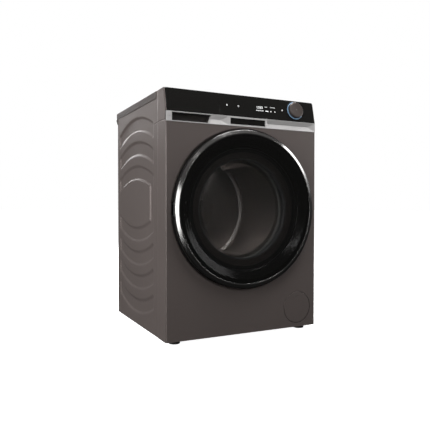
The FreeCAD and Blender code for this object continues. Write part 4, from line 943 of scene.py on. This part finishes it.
# %% Service flap
flap_low, flap_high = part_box("service_flap")
FLAP_X = (flap_low.x + flap_high.x) / 2
FLAP_Z = (flap_low.z + flap_high.z) / 2
COLLAR_RAD = (flap_high.x - flap_low.x) / 2
FLAP_RAD = COLLAR_RAD - 1.6 * MM
flap_profile = [(0, FRONT, 0), (FLAP_RAD - 8 * MM, FRONT, 0), (FLAP_RAD, FRONT, 1 * MM),
                (FLAP_RAD, FRONT + 2.5 * MM, 0), (COLLAR_RAD, FRONT + 2.5 * MM, 0),
                (COLLAR_RAD, flap_high.y), (COLLAR_RAD - 2.2 * MM, flap_high.y),
                (COLLAR_RAD - 2.2 * MM, FRONT + 2.5 * MM, 0), (0, FRONT + 2.5 * MM, 0)]
flap = spun("service_cover", rounded(flap_profile, 0.3 * MM, 4), (FLAP_X, 0, FLAP_Z), 96)
coin_notch = extruded("coin_notch", rounded(box_outline(FLAP_X - 6 * MM, FLAP_Z + 38.5 * MM, FLAP_X + 6 * MM,
                                                        FLAP_Z + 42 * MM), 1.7 * MM), on_front,
                      FRONT - 5 * MM, FRONT + 1.6 * MM)
fitted(smoothed(carved(flap, coin_notch)), body_paint, "flap", "body_paint", "service_flap")

# %% [markdown]
# ## Door
# From outside in: a black band that stands off the front sheet, a bright ring on its rim, a smoked
# cover glass, and behind it a black funnel that leads to the clear bowl. All of them are turned, so
# each is one profile. Their rounded corners catch the light, which is what draws the rings.

# %% Door rings
band_profile = rounded(in_mm([(277, 2, 0.6), (274.6, -17.8, 1.2), (273.2, -17.8, 0.2),
                              (273.2, -14.7, 0), (257.5, -14.7, 0), (257.5, -20, 0.3),
                              (244, -20, 2), (226, -10, 8), (216, -4, 2), (216, -1, 0.5),
                              (262, -1, 0), (262, 2, 0)]), 0.4 * MM, 4)


def at_front(profile):
    """A profile whose depths are counted from the front sheet."""
    return [(radius, FRONT + far) for radius, far in profile]


band = spun("door_band", at_front(band_profile), AXIS, 192)
HINGE_HALF, GRIP_HALF, NOTCH_BACK = 27.8 * MM, 45 * MM, FRONT + 20 * MM


def hinge_notch(name):
    """Room for the hinge's leaf at the left of the door."""
    outline = box_outline(-HALF, AXIS.z - HINGE_HALF, -225 * MM, AXIS.z + HINGE_HALF)
    return extruded(name, outline, on_front, FRONT - 16 * MM, NOTCH_BACK)


grip_outline = rounded(box_outline(252 * MM, AXIS.z - GRIP_HALF, HALF, AXIS.z + GRIP_HALF), 6 * MM)
grip_notch = extruded("grip_notch", grip_outline, on_front, FRONT - 11 * MM, NOTCH_BACK)
fitted(smoothed(carved(band, hinge_notch("hinge_notch"), grip_notch)), door_black, "door", "black_plastic",
       "door_frame")

ring_profile = rounded(in_mm([(272.9, -14.8, 0), (272.9, -18.8, 0.9), (262.2, -23.6, 1.4),
                              (258, -23.2, 0.8), (258, -14.8, 0)]), 0.3 * MM, 5)
fitted(spun("door_ring", at_front(ring_profile), AXIS, 192), chrome_ring, "door", "bright_trim",
       "door_chrome_ring")

# %% [markdown]
# The cover glass bulges slightly. Its front and back are arcs of the same circle, set the glass's
# thickness apart, and its rim is ground round.

# %% Cover glass and bowl
GLASS_RAD, GLASS_RIM, GLASS_TOP, GLASS_THICK = 257.6 * MM, -23.4 * MM, -30 * MM, 3 * MM


def glass_rise(radius):
    return GLASS_TOP + (GLASS_RIM - GLASS_TOP) * (radius / GLASS_RAD) ** 2


rings = [GLASS_RAD * step / 16 for step in range(17)]
glass_profile = [(radius, glass_rise(radius)) for radius in rings]
glass_profile += [(radius, glass_rise(radius) + GLASS_THICK) for radius in reversed(rings)]
fitted(spun("cover_glass", at_front(glass_profile), AXIS, 144, angle=40), smoked_glass, "door",
       "tinted_glass", "door_cover_glass")

bowl_profile = rounded(in_mm([(213, 1.3, 0.4), (166, 1.3, 5), (140, 86, 22), (118, 95.5, 20),
                              (0, 98, 0), (0, 102, 0), (120, 99.5, 22), (144.3, 89, 24),
                              (170.3, 5.3, 6), (213, 5.3, 0.4)]), 0.4 * MM, 7)
fitted(spun("glass_bowl", at_front(bowl_profile), AXIS, 144, angle=50), bowl_glass, "door", "clear_glass",
       "door_glass_bowl")

clamp_profile = rounded(in_mm([(250, -0.7), (213.5, -0.7), (213.5, 5.6), (200, 5.6),
                               (200, 9.6, 1.5), (240, 9.6, 2), (250, 6, 2)]), 0.4 * MM, 4)
clamp = spun("door_inner_rim", at_front(clamp_profile), AXIS, 160)
hook_notch = extruded("hook_notch", box_outline(232 * MM, AXIS.z - 15 * MM, 262 * MM, AXIS.z + 15 * MM),
                      on_front, FRONT - 3 * MM, NOTCH_BACK)
fitted(smoothed(carved(clamp, hinge_notch("clamp_notch"), hook_notch)), black_plastic, "door",
       "black_plastic", "door_inner_ring")

# %% [markdown]
# ## Gasket
# The rubber gasket joins the front sheet to the tub and folds between them like a bellows. Its folds
# are one wavy profile, turned about the drum's axis.

# %% Gasket
gasket_profile = rounded(in_mm([(172.6, 13.8), (177.3, 13.8), (177.3, 25, 3), (196.5, 31, 4),
                                (196.5, 36, 2), (189, 40, 2), (196.5, 44, 2), (196.5, 49, 4),
                                (187, 54, 2), (187, 60.8), (182.1, 60.8), (182.1, 51, 2),
                                (192, 47, 3), (184.5, 40, 3), (192, 33.5, 3), (172.6, 27.5, 3)]), 0.8 * MM, 4)
fitted(spun("gasket_bellows", at_front(gasket_profile), AXIS, 128, angle=60), grey_rubber, "cabinet",
       "grey_rubber", "door_gasket")

# %% [markdown]
# ## Drum
# The drum wall is stainless sheet full of small holes. One square tile with a hole in it, repeated
# with two Array modifiers, makes a flat perforated sheet. Rolling that sheet up in code, by turning
# one of its directions into an angle, makes the wall, and the same sheet rolled flat makes the back.

# %% Perforated sheet
def hole_tile(name, size, hole):
    """A flat square tile with an eight-sided hole, made by inset and delete."""
    deselect()
    bpy.ops.mesh.primitive_plane_add(size=size, location=(size / 2, size / 2, 0))
    tile = named(name)
    bpy.ops.object.transform_apply(location=True)
    edit_all(tile, "EDGE")
    bpy.ops.mesh.subdivide(number_cuts=1)
    bpy.ops.mesh.select_all(action="SELECT")
    bpy.ops.mesh.dissolve_limited(angle_limit=0.01, use_dissolve_boundaries=False)
    bpy.ops.mesh.select_mode(type="FACE")
    bpy.ops.mesh.select_all(action="SELECT")
    bpy.ops.mesh.inset(thickness=size * 0.2, depth=0)
    mesh = bmesh.from_edit_mesh(tile.data)
    middle = Vector((size / 2, size / 2, 0))
    for vertex in mesh.verts:
        arm = vertex.co - middle
        if vertex.select:
            vertex.co = middle + arm.normalized() * hole
    bmesh.update_edit_mesh(tile.data)
    bpy.ops.mesh.delete(type="FACE")
    only(tile)
    return tile


def perforated(name, across, along, size, hole):
    tile = hole_tile(name, size, hole)
    for count, offset in ((across, (1, 0, 0)), (along, (0, 1, 0))):
        modified(tile, "ARRAY", count=count, relative_offset_displace=offset, use_merge_vertices=True,
                 merge_threshold=0.0001)
    return tile


DRUM_RAD, DRUM_WALL = 240 * MM, 1.2 * MM
DRUM_START, DRUM_END = drum_low.y, drum_high.y
AROUND, ALONG = 96, 24
wall = perforated("drum_wall", AROUND, ALONG, 1.0, 0.26)
for vertex in wall.data.vertices:
    turn = vertex.co.x / AROUND * math.tau + (vertex.co.y * 0.5) / AROUND * math.tau
    far = DRUM_START + 1.5 * MM + (DRUM_END - DRUM_START - 3 * MM) * vertex.co.y / ALONG
    vertex.co = AXIS + Vector((math.sin(turn) * DRUM_RAD, far, math.cos(turn) * DRUM_RAD))
finish_mesh(wall, 60)
modified(wall, "SOLIDIFY", thickness=DRUM_WALL, offset=1)
back = perforated("drum_back", 60, 8, 1.0, 0.26)
BACK_IN, BACK_OUT = 95 * MM, 222 * MM
for vertex in back.data.vertices:
    turn = (vertex.co.x + vertex.co.y * 0.5) / 60 * math.tau
    radius = BACK_IN + (BACK_OUT - BACK_IN) * vertex.co.y / 8
    dish = 5 * MM * math.sin(math.pi * (radius - BACK_IN) / (BACK_OUT - BACK_IN))
    vertex.co = AXIS + Vector((math.sin(turn) * radius, DRUM_END - 1.5 * MM - dish, math.cos(turn) * radius))
finish_mesh(back, 60)
modified(back, "SOLIDIFY", thickness=1 * MM, offset=0)


def drum_ring(name, points):
    return spun(name, rounded([(radius * MM, DRUM_START + far * MM) for radius, far in points], 1 * MM, 4),
                AXIS, 128)


long_mm = (DRUM_END - DRUM_START) / MM
mouth = drum_ring("drum_mouth", [(168, 0), (241, 0), (241.2, 3), (240, 3), (236, 1.4), (171, 1.4),
                                 (170, 5), (168.6, 5)])
rear_rim = drum_ring("drum_rear_rim", [(222, long_mm - 1.2), (234, long_mm - 8), (240, long_mm - 8),
                                       (241.2, long_mm - 6), (240.6, long_mm), (222, long_mm)])
hub = drum_ring("drum_hub", [(15.4, long_mm - 1), (15.4, long_mm - 6), (60, long_mm - 7.5),
                             (88, long_mm - 3), (95, long_mm - 2.4), (95, long_mm - 1)])
fitted(merged("drum_basket", wall, back, mouth, rear_rim, hub), drum_steel, "drum", "drum_steel",
       "drum_shell")

# %% [markdown]
# ## Lifters
# Three paddles tumble the washing. The real ones are hollow mouldings with rows of holes. A solid bar
# with a rounded crest is close enough: an outline extruded along the drum and lowered at both ends.

# %% Lifters
lifter_low, lifter_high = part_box("drum_lifters")
LIFTER_TURN = math.radians(35)


def lifter(name, turn):
    crest, foot = DRUM_RAD - 45.5 * MM, DRUM_RAD - 2.4 * MM
    shoulder = crest + 10 * MM
    outline = rounded([(-31 * MM, foot, 1 * MM), (-15 * MM, shoulder, 9 * MM), (-9 * MM, crest, 7 * MM),
                       (9 * MM, crest, 7 * MM), (15 * MM, shoulder, 9 * MM), (31 * MM, foot, 1 * MM)],
                      1 * MM, 5)
    paddle = extruded(name, outline, on_front, lifter_low.y, lifter_high.y, 50)
    edit_all(paddle)
    long = lifter_high.y - lifter_low.y
    for cut in (0.08, 0.16, 0.84, 0.92):
        bpy.ops.mesh.select_all(action="SELECT")
        bpy.ops.mesh.bisect(plane_co=(0, lifter_low.y + long * cut, 0), plane_no=(0, 1, 0))
    only(paddle)
    for vertex in paddle.data.vertices:
        end = min(vertex.co.y - lifter_low.y, lifter_high.y - vertex.co.y)
        drop = 1 - min(end / (0.16 * long), 1)
        tall = (foot - vertex.co.z) / (foot - crest)
        vertex.co.z += drop * drop * tall * 24 * MM
    turning = Matrix.Rotation(turn, 4, "Y")
    for vertex in paddle.data.vertices:
        vertex.co = AXIS + turning @ vertex.co
    return smoothed(paddle, 50)


paddles = [lifter("lifter_%d" % third, LIFTER_TURN + third * math.tau / 3) for third in range(3)]
fitted(merged("lifters", *paddles), drum_steel, "drum", "white_plastic", "drum_lifters")

# %% [markdown]
# ## Feet
# Black moulded pads on screw stems. The same profile is turned at each corner, about the middle of
# that corner's foot.

# %% Feet
foot_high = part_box("front_left_foot")[1]
foot_profile = rounded([(0, 0, 0), (18.5 * MM, 0, 1 * MM), (20 * MM, 2 * MM, 0.8 * MM),
                        (19.2 * MM, 6 * MM, 1.5 * MM), (13 * MM, 9.8 * MM, 1.5 * MM),
                        (5 * MM, 10 * MM, 0.5 * MM), (5 * MM, foot_high.z, 0.8 * MM),
                        (0, foot_high.z, 0)], 0.5 * MM, 4)
FOOT_BODIES = {"front_left_foot": "foot_fl", "front_right_foot": "foot_fr",
               "rear_left_foot": "foot_rl", "rear_right_foot": "foot_rr"}
for name, body in FOOT_BODIES.items():
    low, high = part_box(name)
    centre = Vector(((low.x + high.x) / 2, (low.y + high.y) / 2, 0))
    pad = spun(name.replace("foot", "pad"), foot_profile, centre, 48, (0, 0, 1))
    fitted(pad, foot_rubber, body, "foot_plastic", name)

# %% [markdown]
# ## Back
# The back is plain sheet with pressed ribs. The service cover is a plate with a raised field and
# slots that let the motor's heat out, held by six pan-head screws. The ribs and the field are outlines
# extruded and softened. Everything round is turned from one profile.

# %% Rear sheet, cover and screws
cover_low, cover_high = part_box("rear_service_cover")
COVER_OUT = cover_high.y


RIB_HALF_LONG, RIB_HALF_WIDE, RIB_RISE = 262 * MM, 9 * MM, 2.2 * MM
RIB_HEIGHTS = (60 * MM, 110 * MM, 160 * MM, 210 * MM)
POST_X, POST_LOW, POST_HIGH = 235 * MM, 270 * MM, 660 * MM


def rib(name, left, low, right, high):
    """A rounded swelling pressed out of the rear sheet."""
    swelling = extruded(name, rounded(box_outline(left, low, right, high), 6 * MM), on_front,
                        REAR - 0.2 * MM, REAR + RIB_RISE)
    return softened(swelling, 1.4 * MM, 3, 30)


ribs = [rib("rear_rib_%d" % row, -RIB_HALF_LONG, z - RIB_HALF_WIDE, RIB_HALF_LONG, z + RIB_HALF_WIDE)
        for row, z in enumerate(RIB_HEIGHTS)]
ribs += [rib("rear_post_%d" % side, POST_X * side - RIB_HALF_WIDE, POST_LOW, POST_X * side + RIB_HALF_WIDE,
             POST_HIGH) for side in (-1, 1)]
fitted(merged("rear_ribs", *ribs), galvanised, "cabinet", "zinc_steel")

FIELD_EDGE, FIELD_RISE = 26 * MM, 2.6 * MM
SLOT_HALF, SLOT_LOW, SLOT_TALL, SLOT_STEP, SLOTS = 90 * MM, 360 * MM, 5 * MM, 14 * MM, 9
service_plate = extruded("service_plate", rounded(front_face(cover_low, cover_high), 6 * MM), on_front,
                         cover_low.y, COVER_OUT)
field = extruded("raised_field", rounded(front_face(cover_low, cover_high, -FIELD_EDGE), 12 * MM),
                 on_front, COVER_OUT - 0.2 * MM, COVER_OUT + FIELD_RISE)


def heat_slot(row):
    low = SLOT_LOW + row * SLOT_STEP
    outline = rounded(box_outline(-SLOT_HALF, low, SLOT_HALF, low + SLOT_TALL), 2.2 * MM)
    return extruded("heat_slot_%d" % row, outline, on_front, COVER_OUT - 5 * MM, COVER_OUT + 8 * MM)


softened(carved(field, *[heat_slot(row) for row in range(SLOTS)]), 0.8 * MM, 3, 30)
fitted(merged("service_plate", service_plate, field), galvanised, "cabinet", "zinc_steel",
       "rear_service_cover")


def cross_screw(name, x, z):
    """A pan-head screw with a cross recess."""
    head = spun(name, rounded([(0, COVER_OUT - 9 * MM, 0), (1.6 * MM, COVER_OUT - 9 * MM, 0.3 * MM),
                               (1.6 * MM, COVER_OUT, 0), (4 * MM, COVER_OUT, 0),
                               (4 * MM, COVER_OUT + 1.3 * MM, 0.8 * MM),
                               (2.4 * MM, COVER_OUT + 2.2 * MM, 1.5 * MM), (0, COVER_OUT + 2.2 * MM, 0)],
                              0.2 * MM, 3), (x, 0, z), 24)
    bars = [extruded(name + "_bar_%d" % turn, box_outline(x - wide, z - tall, x + wide, z + tall), on_front,
                     COVER_OUT + 1.1 * MM, COVER_OUT + 4 * MM)
            for turn, (wide, tall) in enumerate(((2.2 * MM, 0.45 * MM), (0.45 * MM, 2.2 * MM)))]
    return carved(head, *bars)


screw_x = [cover_low.x + 5 * MM, cover_high.x - 5 * MM]
screw_z = [cover_low.z + 5 * MM, (cover_low.z + cover_high.z) / 2, cover_high.z - 5 * MM]
screws = [cross_screw("cover_screw_%d%d" % (column, row), x, z)
          for column, x in enumerate(screw_x) for row, z in enumerate(screw_z)]
fitted(merged("cover_screws", *screws), plain_steel, "cabinet", "zinc_steel", "rear_screws")

# %% [markdown]
# The water inlet has a pipe thread and the drain outlet has hose barbs. Both profiles are built up
# turn by turn. The thread is a stack of rings, not a helix, which looks the same at this size.

# %% Thread and barbs
thread = [(12.6 * MM, REAR + 3 * MM)]
for turn in range(6):
    start = REAR + (3.2 + 1.8 * turn) * MM
    thread += [(13.2 * MM, start), (14.1 * MM, start + 0.6 * MM), (14.1 * MM, start + 0.9 * MM),
               (13.2 * MM, start + 1.5 * MM)]
thread.append((12.6 * MM, REAR + 13.8 * MM))
fitted(spun("inlet_thread", thread, (225 * MM, 0, 780 * MM), 64, angle=20), white_plastic, "cabinet",
       "white_plastic")
barbs = [(9 * MM, REAR + 3.4 * MM)]
for turn in range(4):
    start = REAR + (3.5 + 3.4 * turn) * MM
    barbs += [(9.6 * MM, start), (10.9 * MM, start + 0.3 * MM), (9.6 * MM, start + 3.2 * MM)]
barbs.append((9 * MM, REAR + 17.4 * MM))
fitted(spun("outlet_barbs", barbs, (-225 * MM, 0, 700 * MM), 48, angle=20), black_plastic, "cabinet",
       "black_plastic")

# %% [markdown]
# ## Studio
# A white floor and a white world surround the machine where the camera sees them. What the machine
# reflects is dimmer, and darkest below, as in a studio whose walls lie in shade. Area lamps stand for
# softboxes: a large one overhead, at each side and behind, and two narrow strips in front on the left,
# which draw the highlights on the trim and the door's ring. A small lamp lights the inside of the drum.

# %% Studio
WORLD_LOW, WORLD_HIGH = 0.02, 0.22
deselect()
bpy.ops.mesh.primitive_plane_add(size=60, location=(0, 20, 0))
floor = named("studio_floor")
floor_finish = coating("pale_floor", (0.9, 0.9, 0.9), 0.8, drift=0.005, grain=60, relief=0.01,
                       Emission_Strength=1.0, Emission_Color=(1, 1, 1))
floor.data.materials.append(floor_finish)
floor.visible_glossy = False
floor.visible_diffuse = False
floor.visible_shadow = False

world = bpy.data.worlds.new("studio_world")
bpy.context.scene.world = world
world.use_nodes = True
tree = world.node_tree
tree.nodes.clear()


def world_node(kind, **values):
    """A node of the world's shader, with the values of its sockets."""
    made = tree.nodes.new(kind)
    for key, value in values.items():
        made.inputs[key.replace("_", " ")].default_value = value
    return made


seen = world_node("ShaderNodeBackground", Color=(1, 1, 1, 1), Strength=1.0)
way = world_node("ShaderNodeTexCoord")
height = world_node("ShaderNodeSeparateXYZ")
ramp = world_node("ShaderNodeMapRange", From_Min=-0.25, From_Max=0.9, To_Min=WORLD_LOW, To_Max=WORLD_HIGH)
lighting = world_node("ShaderNodeBackground", Color=(1, 0.985, 0.975, 1))
rays = world_node("ShaderNodeLightPath")
choose = world_node("ShaderNodeMixShader")
output = world_node("ShaderNodeOutputWorld")
for start, end in ((way.outputs["Generated"], height.inputs[0]), (height.outputs["Z"], ramp.inputs["Value"]),
                   (ramp.outputs[0], lighting.inputs["Strength"]),
                   (rays.outputs["Is Camera Ray"], choose.inputs[0]),
                   (lighting.outputs[0], choose.inputs[1]), (seen.outputs[0], choose.inputs[2]),
                   (choose.outputs[0], output.inputs[0])):
    tree.links.new(start, end)


def softbox(name, where, target, wide, tall, watts):
    lamp_data = bpy.data.lights.new(name, "AREA")
    lamp_data.shape = "RECTANGLE"
    lamp_data.size, lamp_data.size_y, lamp_data.energy = wide, tall, watts
    lamp_object = bpy.data.objects.new(name, lamp_data)
    bpy.context.scene.collection.objects.link(lamp_object)
    lamp_object.location = where
    way = Vector(target) - Vector(where)
    lamp_object.rotation_euler = way.to_track_quat("-Z", "Y").to_euler()


softbox("over_head", (0.8, -0.75, 3.0), (0.1, -0.1, 0.8), 2.2, 1.0, 95)
softbox("left_strip", (-1.72, -3.1, 0.15), (-0.27, -0.3, 0.45), 0.28, 2.6, 15)
softbox("left_side", (-3.0, -0.5, 1.1), (-0.3, 0.0, 0.4), 2.6, 1.8, 135)
softbox("right_side", (2.9, -1.4, 1.6), (0.2, -0.2, 0.8), 1.6, 1.6, 40)
softbox("rear_side", (0.4, 3.6, 2.0), (0, 0.3, 0.4), 2.4, 1.6, 110)
softbox("high_strip", (-0.6, -3.3, 1.9), (0.1, -0.3, 0.4), 0.2, 1.5, 10)
softbox("drum_lamp", (0.02, drum_low.y + 0.03, AXIS.z + 0.19), (0, drum_high.y, AXIS.z - 0.1), 0.2,
        0.05, 0.4)
print("studio ready")
